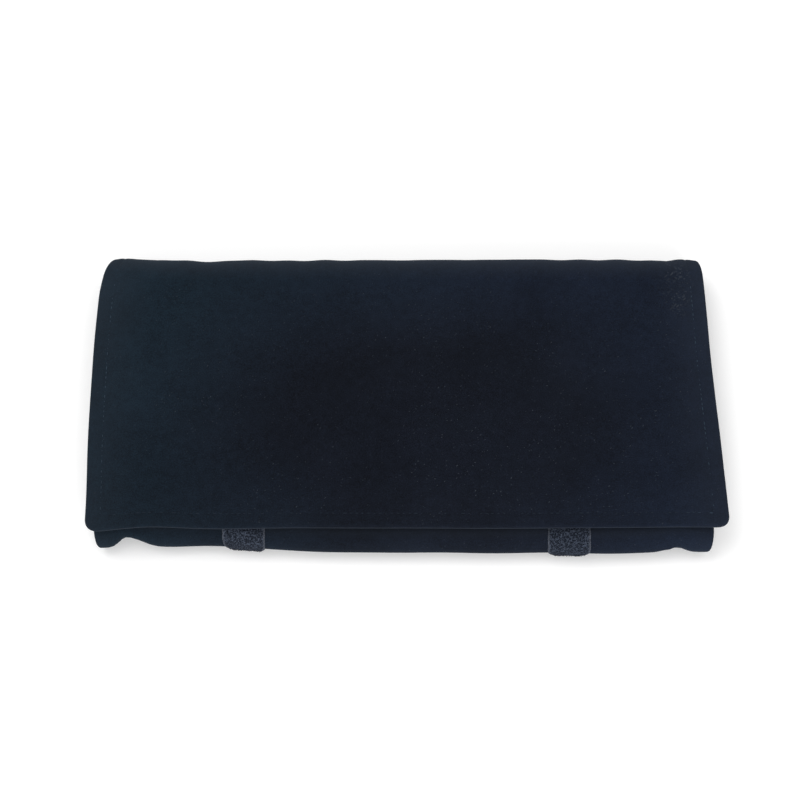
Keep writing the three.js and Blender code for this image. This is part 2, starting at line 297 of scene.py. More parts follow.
def turned(name: str, profile: Sequence[Span]) -> Piece:
    """Spins a profile about Z into a closed turned piece.

    Args:
        name: The piece's name.
        profile: Radius and height of each point in mm.

    Returns:
        The turned piece, at the origin.
    """
    mesh = bpy.data.meshes.new(name)
    points = [(radius * MM, 0, height * MM) for radius, height in profile]
    mesh.from_pydata(points, [(i, i + 1) for i in range(len(points) - 1)], [])
    piece = placed(name, mesh)
    with editing(piece):
        bpy.ops.mesh.spin(steps=40, angle=math.tau, center=(0, 0, 0), axis=UP)
        bpy.ops.mesh.select_all(action="SELECT")
        bpy.ops.mesh.remove_doubles(threshold=1e-6)
        bpy.ops.mesh.normals_make_consistent(inside=False)
    smooth(piece, degrees=35)
    return piece


def fibre(name: str, points: Sequence[Place], thickness: float) -> Piece:
    """Makes one bent fibre of few faces.

    Args:
        name: The piece's name.
        points: The fibre's line, in mm.
        thickness: The fibre's diameter in mm.

    Returns:
        The fibre as a mesh, at the origin.
    """
    line = bpy.data.curves.new(name, "CURVE")
    line.dimensions = "3D"
    line.bevel_depth = thickness / 2 * MM
    line.bevel_resolution = 0
    line.use_fill_caps = True
    spline = line.splines.new("POLY")
    spline.points.add(len(points) - 1)
    for point, place in zip(spline.points, points):
        point.co = (*(value * MM for value in place), 1)
    take(placed(name, line))
    bpy.ops.object.convert(target="MESH")
    return added(name)


def copy_to(name: str, pattern: Piece, place: Matrix) -> Piece:
    """Copies a piece, with its own mesh, to a place given in metres."""
    copy = placed(name, pattern.data.copy())
    copy.data.transform(place)
    return copy


def join(pieces: Sequence[Piece]) -> None:
    """Joins pieces into the first of them."""
    take(pieces[0])
    for piece in pieces:
        piece.select_set(True)
    bpy.ops.object.join()


def copies_joined(name: str, pattern: Piece, places: Sequence[Matrix]) -> Piece:
    """Copies a small pattern to many places and joins the copies.

    Args:
        name: The joined piece's name.
        pattern: The piece to copy, which is removed at the end.
        places: Where each copy goes, in metres.

    Returns:
        All copies as one piece.
    """
    join([copy_to(name, pattern, place) for place in places])
    joined = added(name)
    bpy.data.objects.remove(pattern, do_unlink=True)
    return joined


# Shader nodes


class Shading:
    """Short hand for adding and joining nodes in one shader tree."""

    def __init__(self, tree: bpy.types.NodeTree) -> None:
        """Keeps the tree that nodes are added to."""
        self.tree = tree

    def node(self, kind: str, inputs: dict | None = None, **settings: object) -> bpy.types.Node:
        """Adds one node.

        Args:
            kind: Blender's node type, without its ShaderNode prefix.
            inputs: Values or sockets by input name or index.
            **settings: The node's own settings.

        Returns:
            The new node.
        """
        node = self.tree.nodes.new("ShaderNode" + kind)
        for key, value in settings.items():
            setattr(node, key, value)
        for key, value in (inputs or {}).items():
            if isinstance(value, Socket):
                self.tree.links.new(value, node.inputs[key])
            else:
                node.inputs[key].default_value = value
        return node

    def group(self, tree: bpy.types.NodeTree, inputs: dict) -> bpy.types.NodeOutputs:
        """Places a shared effect and gives its outputs."""
        return self.node("Group", inputs, node_tree=tree).outputs

    def link(self, value: Socket, entry: Socket) -> None:
        """Joins an output to an input."""
        self.tree.links.new(value, entry)

    def noise(self, vector: Socket, scale: object, detail: float = 2) -> Socket:
        """Adds a noise texture and gives its value."""
        return self.node("TexNoise", {"Vector": vector, "Scale": scale, "Detail": detail}).outputs["Fac"]

    def cells(self, vector: Socket, scale: object) -> bpy.types.NodeOutputs:
        """Adds a texture of cells and gives its outputs."""
        return self.node("TexVoronoi", {"Vector": vector, "Scale": scale}).outputs

    def stretched(self, vector: Socket, scale: Place) -> Socket:
        """Scales coordinates by axis."""
        return self.node("Mapping", {"Vector": vector, "Scale": scale}).outputs["Vector"]

    def across(self, place: Socket) -> Socket:
        """Gives the place across the roll."""
        return self.node("SeparateXYZ", {"Vector": place}).outputs["X"]

    def rub(self) -> Socket:
        """Gives how far the mesh paints the surface paler: painted light on velvet, pale selvages on loop tape."""
        return self.node("Attribute", attribute_name="rub").outputs["Fac"]

    def math(self, operation: str, first: object, second: object) -> Socket:
        """Adds a math node and gives its value."""
        return self.node("Math", {0: first, 1: second}, operation=operation).outputs[0]

    def times(self, first: object, second: object) -> Socket:
        """Multiplies two values."""
        return self.math("MULTIPLY", first, second)

    def most(self, first: object, *others: object) -> Socket:
        """Gives the largest of some values."""
        for other in others:
            first = self.math("MAXIMUM", first, other)
        return first

    def added(self, value: object, share: object, base: object) -> Socket:
        """Adds a share of one value to another."""
        return self.node("Math", {0: value, 1: share, 2: base}, operation="MULTIPLY_ADD").outputs[0]

    def between(self, value: Socket, low: float, high: float) -> Socket:
        """Maps a range of values to 0 and 1 and clamps them."""
        inputs = {"Value": value, "From Min": low, "From Max": high}
        return self.node("MapRange", inputs).outputs["Result"]

    def mix(self, share: object, first: object, second: object) -> Socket:
        """Mixes two colours."""
        whole = [(*value, 1) if isinstance(value, tuple) else value for value in (first, second)]
        return self.node("Mix", {0: share, 6: whole[0], 7: whole[1]}, data_type="RGBA").outputs[2]

    def bump(self, height: Socket, depth: float, strength: float) -> Socket:
        """Turns a height into a normal, with its depth in mm."""
        inputs = {"Height": height, "Distance": depth * MM, "Strength": strength}
        return self.node("Bump", inputs).outputs["Normal"]


def effect(name: str, inputs: dict[str, str], outputs: Sequence[str]) -> tuple[Shading, dict, bpy.types.NodeInputs]:
    """Starts a shared shader effect as a node group.

    Args:
        name: The group's name.
        inputs: Socket type of each input by name.
        outputs: Names of the outputs, which are values.

    Returns:
        The group's shading, its input sockets by name and the sockets of its result.
    """
    tree = bpy.data.node_groups.new(name, "ShaderNodeTree")
    for socket, kind in inputs.items():
        tree.interface.new_socket(socket, in_out="INPUT", socket_type="NodeSocket" + kind)
    for socket in outputs:
        tree.interface.new_socket(socket, in_out="OUTPUT", socket_type="NodeSocketFloat")
    entry = tree.nodes.new("NodeGroupInput")
    return Shading(tree), {key: entry.outputs[key] for key in inputs}, tree.nodes.new("NodeGroupOutput").inputs


@cache
def pile_effect() -> bpy.types.NodeTree:
    """Builds the pile of velvet: brushed patches, nap, faint streaks across the roll and single tufts.

    Returns:
        The group, with a Shade and a Height.
    """
    kinds = {"Vector": "Vector", "Patch Scale": "Float", "Tuft Scale": "Float"}
    shading, given, result = effect("velvet pile", kinds, ("Shade", "Height"))
    place, tuft_scale = given["Vector"], given["Tuft Scale"]
    across = shading.stretched(place, (0.16, 1, 1))
    patches = shading.between(shading.noise(place, given["Patch Scale"], detail=5), low=0.34, high=0.68)
    nap = shading.between(shading.noise(place, scale=260, detail=3), low=0.36, high=0.66)
    streaks = shading.between(shading.noise(across, tuft_scale, detail=2), low=0.3, high=0.72)
    tufts = shading.between(shading.noise(place, tuft_scale, detail=5), low=0.36, high=0.66)
    shade = 0.0
    for part, share in ((patches, 0.28), (nap, 0.16), (streaks, 0.06), (tufts, 0.56)):
        shade = shading.added(part, share, shade)
    shading.link(shade, result["Shade"])
    shading.link(shading.added(streaks, share=0.12, base=tufts), result["Height"])
    return shading.tree


@cache
def lint_effect() -> bpy.types.NodeTree:
    """Builds the pale specks and short fibres of lint that cling to velvet.

    Returns:
        The group, with a Mask.
    """
    kinds = {"Vector": "Vector", "Scale": "Float", "Size": "Float", "Rarity": "Float"}
    shading, given, result = effect("lint", kinds, ("Mask",))
    strewn = shading.between(shading.noise(given["Vector"], scale=26, detail=3), low=0.32, high=0.6)
    masks = []
    for stretch, turn in (((0.45, 1, 1), 0.15), ((1, 0.8, 1), 0), ((0.3, 1, 1), -0.9)):
        turned_place = shading.node("Mapping", {"Vector": given["Vector"], "Rotation": (0, 0, turn)})
        cells = shading.cells(shading.stretched(turned_place.outputs["Vector"], stretch), given["Scale"])
        chosen = shading.node("SeparateColor", {"Color": cells["Color"]}).outputs
        speck = shading.math("LESS_THAN", cells["Distance"], given["Size"])
        rare = shading.math("GREATER_THAN", chosen[0], given["Rarity"])
        masks.append(shading.times(shading.times(shading.times(speck, rare), strewn), chosen[1]))
    shading.link(shading.most(*masks), result["Mask"])
    return shading.tree


@cache
def weave_effect() -> bpy.types.NodeTree:
    """Builds a plain weave of two sets of threads.

    Returns:
        The group, with a Shade and a Height.
    """
    kinds = {"Vector": "Vector", "Warp Scale": "Float", "Weft Scale": "Float"}
    shading, given, result = effect("plain weave", kinds, ("Shade", "Height"))
    threads = []
    for direction, scale in (("X", "Warp Scale"), ("Y", "Weft Scale")):
        inputs = {"Vector": given["Vector"], "Scale": given[scale], "Distortion": 0.6, "Detail": 1}
        threads.append(shading.node("TexWave", inputs, bands_direction=direction).outputs["Fac"])
    height = shading.times(*threads)
    wear = shading.noise(given["Vector"], scale=240, detail=3)
    shading.link(shading.times(height, wear), result["Shade"])
    shading.link(height, result["Height"])
    return shading.tree


# Finishes


@dataclass(frozen=True)
class Finish:
    """A finish of the roll, with the values that are the same all over it."""

    name: str
    dark: Colour
    light: Colour
    roughness: float = 0.9
    specular: float = 0.3
    sheen: float = 0.0
    sheen_roughness: float = 0.4
    sheen_tint: Colour = (1, 1, 1)
    metallic: float = 0.0

    def material(self) -> bpy.types.Material:
        """Gives the finish's material, made at its first use."""
        found = bpy.data.materials.get(self.name)
        if found:
            return found
        made = bpy.data.materials.new(self.name)
        made.use_nodes = True
        shading = Shading(made.node_tree)
        shader = made.node_tree.nodes["Principled BSDF"].inputs
        shader["Roughness"].default_value = self.roughness
        shader["Specular IOR Level"].default_value = self.specular
        shader["Metallic"].default_value = self.metallic
        shader["Sheen Weight"].default_value = self.sheen
        shader["Sheen Roughness"].default_value = self.sheen_roughness
        shader["Sheen Tint"].default_value = (*self.sheen_tint, 1)
        colour, normal = self.surface(shading, shading.node("TexCoord").outputs["Object"])
        shading.link(colour, shader["Base Color"])
        shading.link(normal, shader["Normal"])
        return made

    def surface(self, shading: Shading, place: Socket) -> Surface:
        """Gives the finish's colour and normal."""
        raise NotImplementedError


@dataclass(frozen=True)
class VelvetFinish(Finish):
    """Short-pile velvet with lint, darkest in its middle, with painted light towards its edges and on its folds.

    Places and reaches on the flap are in metres.
    """

    roughness: float = 0.95
    specular: float = 0.09
    sheen: float = 0.04
    sheen_roughness: float = 0.45
    sheen_tint: Colour = (0.56, 0.76, 1.0)
    # Painted sheen: colours that the velvet turns to towards its edges, teal on the left and violet on the right.
    left_painted_sheen: Colour = (0.0094, 0.0212, 0.0340)
    right_painted_sheen: Colour = (0.0107, 0.0182, 0.0380)
    dark_middle: Span = (0.02, -0.022)
    dark_reach: Span = (0.175, 0.115)
    # Colour that painted light on the sewn edges, margins and bends turns the velvet to.
    painted_light: Colour = (0.027, 0.033, 0.044)
    lint: Colour = (0.042, 0.050, 0.062)
    lint_scale: float = 640
    lint_size: float = 0.094
    lint_rarity: float = 0.2
    clot_middle: Span = (0.135, 0.061)
    clot_reach: Span = (0.009, 0.022)
    clot_scale: float = 700
    clot_size: float = 0.28
    clot_rarity: float = 0.2

    def surface(self, shading: Shading, place: Socket) -> Surface:
        """Gives the velvet's colour and normal."""
        pile = shading.group(pile_effect(), {"Vector": place, "Patch Scale": 22, "Tuft Scale": 2000})
        middle = shading.mix(pile["Shade"], self.dark, self.light)
        # Painted sheen: paler and bluer towards the edges, teal at left and violet at right, darkest in the middle.
        to_right = shading.between(shading.across(place), low=-0.11, high=0.06)
        edge = shading.mix(to_right, self.left_painted_sheen, self.right_painted_sheen)
        uneven_painted_sheen = shading.mix(shading.added(pile["Shade"], share=0.75, base=0.16), self.dark, edge)
        outer = self.painted_sheen_mask(shading, place)
        cloth = shading.mix(outer, middle, uneven_painted_sheen)
        linty = shading.mix(self.linted(shading, place, outer), cloth, self.lint)
        # Painted light: paler where the mesh's attribute says, as highlights, sheen and light under the flap's edge.
        colour = shading.mix(shading.rub(), linty, self.painted_light)
        return colour, shading.bump(pile["Height"], depth=0.2, strength=0.22)

    def painted_sheen_mask(self, shading: Shading, place: Socket) -> Socket:
        """Gives the painted sheen's mask: 0 in the velvet's middle and 1 towards its edges, with an uneven border.
        """
        ball = self.ball(shading, place, self.dark_middle, self.dark_reach)
        cloud = shading.noise(place, scale=14, detail=3)
        return shading.between(shading.added(cloud, share=-0.22, base=ball), low=0.5, high=-0.1)

    def linted(self, shading: Shading, place: Socket, outer: Socket) -> Socket:
        """Gives the mask of the lint: strewn, thinner towards the edges, and clotted at one place."""
        inputs = {"Vector": place, "Scale": self.lint_scale, "Size": self.lint_size, "Rarity": self.lint_rarity}
        strewn = shading.group(lint_effect(), inputs)["Mask"]
        settled = shading.times(strewn, shading.added(outer, share=-0.5, base=1))
        inputs = {"Vector": place, "Scale": self.clot_scale, "Size": self.clot_size, "Rarity": self.clot_rarity}
        clot = shading.group(lint_effect(), inputs)["Mask"]
        near = shading.between(self.ball(shading, place, self.clot_middle, self.clot_reach), low=0, high=0.6)
        return shading.most(settled, shading.times(clot, near))

    def ball(self, shading: Shading, place: Socket, middle: Span, reach: Span) -> Socket:
        """Gives a value that falls from 1 at a place across and along the roll to 0 at its reach, at any height."""
        scale = (1 / reach[0], 1 / reach[1], 0)
        moved = (-middle[0] * scale[0], -middle[1] * scale[1], 0)
        inside = shading.node("Mapping", {"Vector": place, "Location": moved, "Scale": scale}).outputs["Vector"]
        return shading.node("TexGradient", {"Vector": inside}, gradient_type="SPHERICAL").outputs["Fac"]


@dataclass(frozen=True)
class LoopFinish(Finish):
    """Brushed loops of a closing tape, speckled where the loops catch the light, between pale selvages."""

    selvage: Colour = (0.092, 0.102, 0.124)

    def surface(self, shading: Shading, place: Socket) -> Surface:
        """Gives the loops' colour and normal."""
        curls = shading.cells(place, scale=1450)["Distance"]
        fuzz = shading.noise(place, scale=2000, detail=3)
        speckle = shading.between(shading.times(curls, fuzz), low=0.16, high=0.35)
        loops = shading.mix(speckle, self.dark, self.light)
        colour = shading.mix(shading.times(shading.rub(), fuzz), loops, self.selvage)
        return colour, shading.bump(speckle, depth=0.5, strength=0.8)


@dataclass(frozen=True)
class WovenFinish(Finish):
    """Plain woven tape or elastic."""

    warp_scale: float = 260
    weft_scale: float = 320

    def surface(self, shading: Shading, place: Socket) -> Surface:
        """Gives the weave's colour and normal."""
        inputs = {"Vector": place, "Warp Scale": self.warp_scale, "Weft Scale": self.weft_scale}
        weave = shading.group(weave_effect(), inputs)
        colour = shading.mix(weave["Shade"], self.dark, self.light)
        return colour, shading.bump(weave["Height"], depth=0.25, strength=0.7)


@dataclass(frozen=True)
class ThreadFinish(WovenFinish):
    """Sewing thread, with painted light that makes it paler towards the roll's sides, at places in metres."""

    painted_light: Colour = (0.034, 0.056, 0.080)

    def surface(self, shading: Shading, place: Socket) -> Surface:
        """Gives the thread's colour and normal."""
        colour, normal = super().surface(shading, place)
        # Painted light: the thread of the side seams is painted paler.
        across = shading.across(place)
        aside = shading.most(across, shading.times(across, -1))
        share = shading.between(aside, low=0.128, high=0.143)
        return shading.mix(share, colour, self.painted_light), normal


@dataclass(frozen=True)
class FoamFinish(Finish):
    """Open-cell foam."""

    def surface(self, shading: Shading, place: Socket) -> Surface:
        """Gives the foam's colour and normal."""
        pores = shading.between(shading.cells(place, scale=900)["Distance"], low=0.1, high=0.55)
        return shading.mix(pores, self.dark, self.light), shading.bump(pores, depth=0.4, strength=0.8)


@dataclass(frozen=True)
class MetalFinish(Finish):
    """Satin plated steel with fine scuffs."""

    def surface(self, shading: Shading, place: Socket) -> Surface:
        """Gives the metal's colour and normal."""
        scuffs = shading.noise(shading.stretched(place, (1, 0.2, 1)), scale=2600)
        stains = shading.between(shading.noise(place, scale=300, detail=3), low=0.35, high=0.7)
        return shading.mix(stains, self.dark, self.light), shading.bump(scuffs, depth=0.02, strength=0.25)


VELVET = VelvetFinish("black velvet", dark=(0.0005, 0.0008, 0.0021), light=(0.0064, 0.0090, 0.0166))
# The lining velvet also has painted sheen towards its edges, in its own colours.
INNER_VELVET = VelvetFinish(
    "black lining velvet",
    dark=(0.0008, 0.0012, 0.0025),
    light=(0.0074, 0.0100, 0.0168),
    left_painted_sheen=(0.0072, 0.0118, 0.0188),
    right_painted_sheen=(0.0072, 0.0112, 0.0186),
    lint_rarity=0.75,
    clot_size=0,
)
LOOPS = LoopFinish(
    "brushed loop tape", dark=(0.0040, 0.0064, 0.0128), light=(0.0440, 0.0550, 0.0800), specular=0.1, sheen=0.015
)
HOOK_WEAVE = WovenFinish(
    "woven hook tape", dark=(0.0022, 0.0034, 0.0058), light=(0.0105, 0.0135, 0.0195), roughness=0.6, specular=0.2
)
ELASTIC = WovenFinish(
    "ribbed elastic",
    dark=(0.0020, 0.0032, 0.0054),
    light=(0.0090, 0.0118, 0.0172),
    specular=0.14,
    warp_scale=420,
    weft_scale=180,
)
THREAD = ThreadFinish(
    "sewing thread",
    dark=(0.011, 0.0155, 0.0235),
    light=(0.044, 0.058, 0.083),
    roughness=0.8,
    specular=0.06,
    warp_scale=900,
    weft_scale=900,
)
FOAM = FoamFinish("grey foam", dark=(0.11, 0.11, 0.105), light=(0.21, 0.21, 0.20))
STEEL = MetalFinish("satin steel", dark=(0.44, 0.44, 0.45), light=(0.62, 0.62, 0.63), roughness=0.3, metallic=1)
COVER = (VELVET, Slot.VELVET)
LINING = (INNER_VELVET, Slot.LINING)


# Dressing: finish and body of each piece


def dress(piece: Piece, finish: Finish, slot: Slot | None, nodes: Sequence[str]) -> Piece:
    """Gives a piece its finish and hides the solids that it stands for.

    Args:
        piece: The finished mesh.
        finish: Its finish.
        slot: The record's slot for that finish, if it has one; not used.
        nodes: The solids that the piece replaces.

    Returns:
        The piece.
    """
    piece.data.materials.clear()
    piece.data.materials.append(finish.material())
    if nodes:
        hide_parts(*nodes)
    return piece


def ride(piece: Piece, body: str) -> Piece:
    """Lets a piece move with one body and reports it."""
    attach(piece, body)
    LOG.info("%s rides on %s, %d faces", piece.name, body, len(piece.data.polygons))
    return piece


@dataclass(frozen=True)
class Crossing:
    """Where cloth turns from following one body to following the next."""

    first: str
    second: str
    start: Span
    end: Span

    def carry(self, piece: Piece) -> Piece:
        """Bakes a piece's place into its mesh and reports which two bodies it lies between."""
        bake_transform(piece)
        LOG.info("%s bends from %s to %s", piece.name, self.first, self.second)
        return piece


# The strip's cloth: sewn edges, bends and panels


def ramp(value: Array, start: float, end: float) -> Array:
    """Gives a smooth step from 0 at one place to 1 at another."""
    share = np.clip((value - start) / (end - start), 0, 1)
    return share * share * (3 - 2 * share)


def hump(value: Array, centre: float, spread: object) -> Array:
    """Gives a smooth hump of height 1 round a centre."""
    return np.exp(-(((value - centre) / spread) ** 2))


def humps(value: Array, given: Sequence[Place]) -> Array:
    """Adds up humps, each given by its centre, its spread and its height."""
    return sum(height * hump(value, centre, spread) for centre, spread, height in given)


@dataclass(frozen=True)
class Ripples:
    """Soft unevenness of hand-sewn cloth: a sum of waves that is the same in every run."""

    seed: int
    shortest: float
    longest: float
    waves: int = 7

    def at(self, x: Array, y: Array) -> Array:
        """Gives the waves' sum, about 1 at its highest.

        Args:
            x: Places across the roll, in mm.
            y: Places along it, in mm.

        Returns:
            The unevenness at each place.
        """
        chance = random.Random(self.seed)
        total = np.zeros(np.broadcast(x, y).shape)
        for _ in range(self.waves):
            turn = chance.uniform(0, math.tau)
            pitch = math.tau / chance.uniform(self.shortest, self.longest)
            along = x * math.cos(turn) + y * math.sin(turn)
            total += np.sin(along * pitch + chance.uniform(0, math.tau))
        return total / math.sqrt(2 * self.waves)


@dataclass(frozen=True)
class Rings:
    """Lines of a sheet along a sewn edge, from its raw end to the flat of the panel.

    Inset is the distance in from the panel's edge, height the distance from the reference face, extra what the
    seam adds to it, reach how far the line lies outside the row of stitching along the cloth, and the last value
    how far painted light makes the edge paler there.
    """

    inset: Array
    height: Array
    extra: Array
    reach: Array
    rub: Array


@dataclass(frozen=True)
class SewnEdge:
    """Sewn edge of a panel: the cover is turned round it and one row of stitching holds it down."""

    radius: float = 1.15
    tuck: float = 3.2
    turn_in: float = 2.2
    round_lines: int = 9
    lining_inset: float = 3.5
    lining_gap: float = 0.3
    seam: float = 7.0
    groove: float = 0.2
    groove_spread: float = 0.9
    puff: float = 0.1
    shoulder_start: float = 2.5
    shoulder_end: float = 20.5
    squareness: float = 0.78
    inner: float = 25.0
    margin: tuple[float, ...] = (2.2, 3.4, 4.6, 5.6, 6.2, 6.6, 7.0)
    shoulder: tuple[float, ...] = (7.4, 7.9, 8.6, 9.5, 10.7, 12.2, 14.0, 16.5, 20.0)

    @property
    def thickness(self) -> float:
        """Thickness of the sewn edge."""
        return 2 * self.radius

    def seam_index(self, rings: Rings) -> int:
        """Finds the line of a sheet that lies under the stitching."""
        return int(np.flatnonzero(np.isclose(rings.inset, self.seam))[0])

    def relief(self, inset: Array) -> Array:
        """Gives what the seam adds to a face: a soft puff in the margin and a groove under the stitching."""
        share = np.clip((inset - self.radius) / (self.seam - self.radius), 0, 1)
        return self.puff * np.sin(math.pi * share) - self.groove * hump(inset, self.seam, self.groove_spread)

    def climb(self, inset: Array) -> Array:
        """Gives the share of the padding's height at a distance from the edge."""
        return ramp(inset, self.shoulder_start, self.shoulder_end)

    def reach(self, inset: Array, height: Array) -> Array:
        """Measures how far along the cloth lines lie outside the stitching, the first two of them turned in."""
        steps = np.hypot(np.diff(inset), np.diff(height))
        run = np.concatenate([[0], np.cumsum(steps)])
        turned_in = run < run[2]
        at_seam = run[int(np.argmin(np.abs(inset - self.seam) + FAR * turned_in))]
        return np.clip(at_seam - run, 0, None)

    def cover(self, padded: bool) -> Rings:
        """Gives the cover's lines: turned in, round the edge, over the margin and up the shoulder.

        Args:
            padded: Whether the padding bulges on the cover's side.

        Returns:
            The lines from the raw end inwards, with heights from the face that isn't padded.
        """
        degrees = np.linspace(-90, 90, self.round_lines)
        angles = np.radians(degrees)
        flat = np.array(self.margin + self.shoulder)
        inset = np.concatenate([[self.tuck, self.turn_in], self.radius * (1 - np.cos(angles)), flat])
        round_edge = self.radius * (1 + np.sin(angles))
        height = np.concatenate([[0, 0], round_edge, np.full(len(flat), self.thickness)])
        extra = np.concatenate([np.zeros(2 + len(angles)), self.relief(flat)])
        reach = self.reach(inset, height)
        # Painted highlight along the rounded edge's rim.
        rub = np.concatenate([[0, 0], hump(degrees, centre=-22, spread=24), np.zeros(len(flat))])
        if padded:
            return Rings(inset, height, extra, reach, rub)
        return Rings(inset, self.thickness - height, np.zeros(len(inset)), reach, rub)

    def lining(self, padded: bool) -> Rings:
        """Gives the lining's lines, which start inside the turned cover.

        Args:
            padded: Whether the padding bulges on the lining's side.

        Returns:
            The lines from the raw end inwards, with heights from the face that isn't padded.
        """
        margin = [inset for inset in self.margin if inset > self.lining_inset + self.lining_gap]
        inset = np.array([self.lining_inset, *margin, *self.shoulder])
        height = np.full(len(inset), self.thickness if padded else 0)
        extra = self.relief(inset) if padded else np.zeros(len(inset))
        return Rings(inset, height, extra, np.clip(self.seam - inset, 0, None), np.zeros(len(inset)))


@dataclass(frozen=True)
class Bend:
    """Round fold of the strip, seen along X: two quarter ovals that meet at its outermost line."""

    side: int
    outermost: float
    middle: float
    low_reach: float
    high_reach: float
    top: float

    def line(self, degrees: Array) -> tuple[Array, Array, Array, Array]:
        """Places lines on the bend's outer face.

        Args:
            degrees: Angle of each line, from -90 on the table to 90 at the top.

        Returns:
            The lines' y and z and their outward direction's y and z.
        """
        angle = np.radians(degrees)
        reach = np.where(angle < 0, self.low_reach, self.high_reach)
        rise = np.where(angle < 0, self.middle, self.top - self.middle)
        y = self.outermost - self.side * reach * (1 - np.cos(angle))
        z = self.middle + rise * np.sin(angle)
        out = np.stack([rise * np.cos(angle), reach * np.sin(angle)])
        out /= np.linalg.norm(out, axis=0)
        return y, z, self.side * out[0], out[1]

    def foot(self) -> float:
        """Gives the place where the bend leaves the table."""
        return self.outermost - self.side * self.low_reach

    def crest(self) -> float:
        """Gives the place where the bend reaches its top."""
        return self.outermost - self.side * self.high_reach

    def point(self, degrees: float) -> Span:
        """Gives one point of the outer face."""
        y, z, _, _ = self.line(np.array([degrees]))
        return float(y[0]), float(z[0])


@dataclass(frozen=True)
class Rows(Rings):
    """Lines across the strip: a point of the reference face, the direction of heights and the half width.

    What they have from Rings is for a free edge.
    """

    y: Array
    z: Array
    out_y: Array
    out_z: Array
    half: Array
    pad: Array
    seam: Array

    @staticmethod
    def laid(
        y: Array,
        z: object,
        out: tuple,
        half: object,
        pad: object,
        seam: object = 1,
        rub: object = 0,
        edge: Rings | None = None,
    ) -> "Rows":
        """Makes lines.

        Args:
            y: Places along the strip.
            z: Heights of the reference face.
            out: Direction of heights, its y and its z.
            half: Half widths of the strip.
            pad: Heights of the padding.
            seam: Shares of the seam's relief.
            rub: How far painted light makes the lines paler.
            edge: The free edge that the lines belong to, if they do.

        Returns:
            The lines.
        """
        given = (y, z, *out, half, pad, seam)
        zero = np.zeros(y.shape)
        edge = edge or Rings(zero + FAR, zero, zero, zero, zero + rub)
        return Rows(*vars(edge).values(), *(zero + value for value in given))

    def then(self, after: "Rows") -> "Rows":
        """Joins these lines to the lines that follow them."""
        return Rows(*(np.concatenate([getattr(self, key), getattr(after, key)]) for key in vars(self)))

    def backwards(self) -> "Rows":
        """Gives the lines in the other order."""
        return Rows(*(getattr(self, key)[::-1] for key in vars(self)))


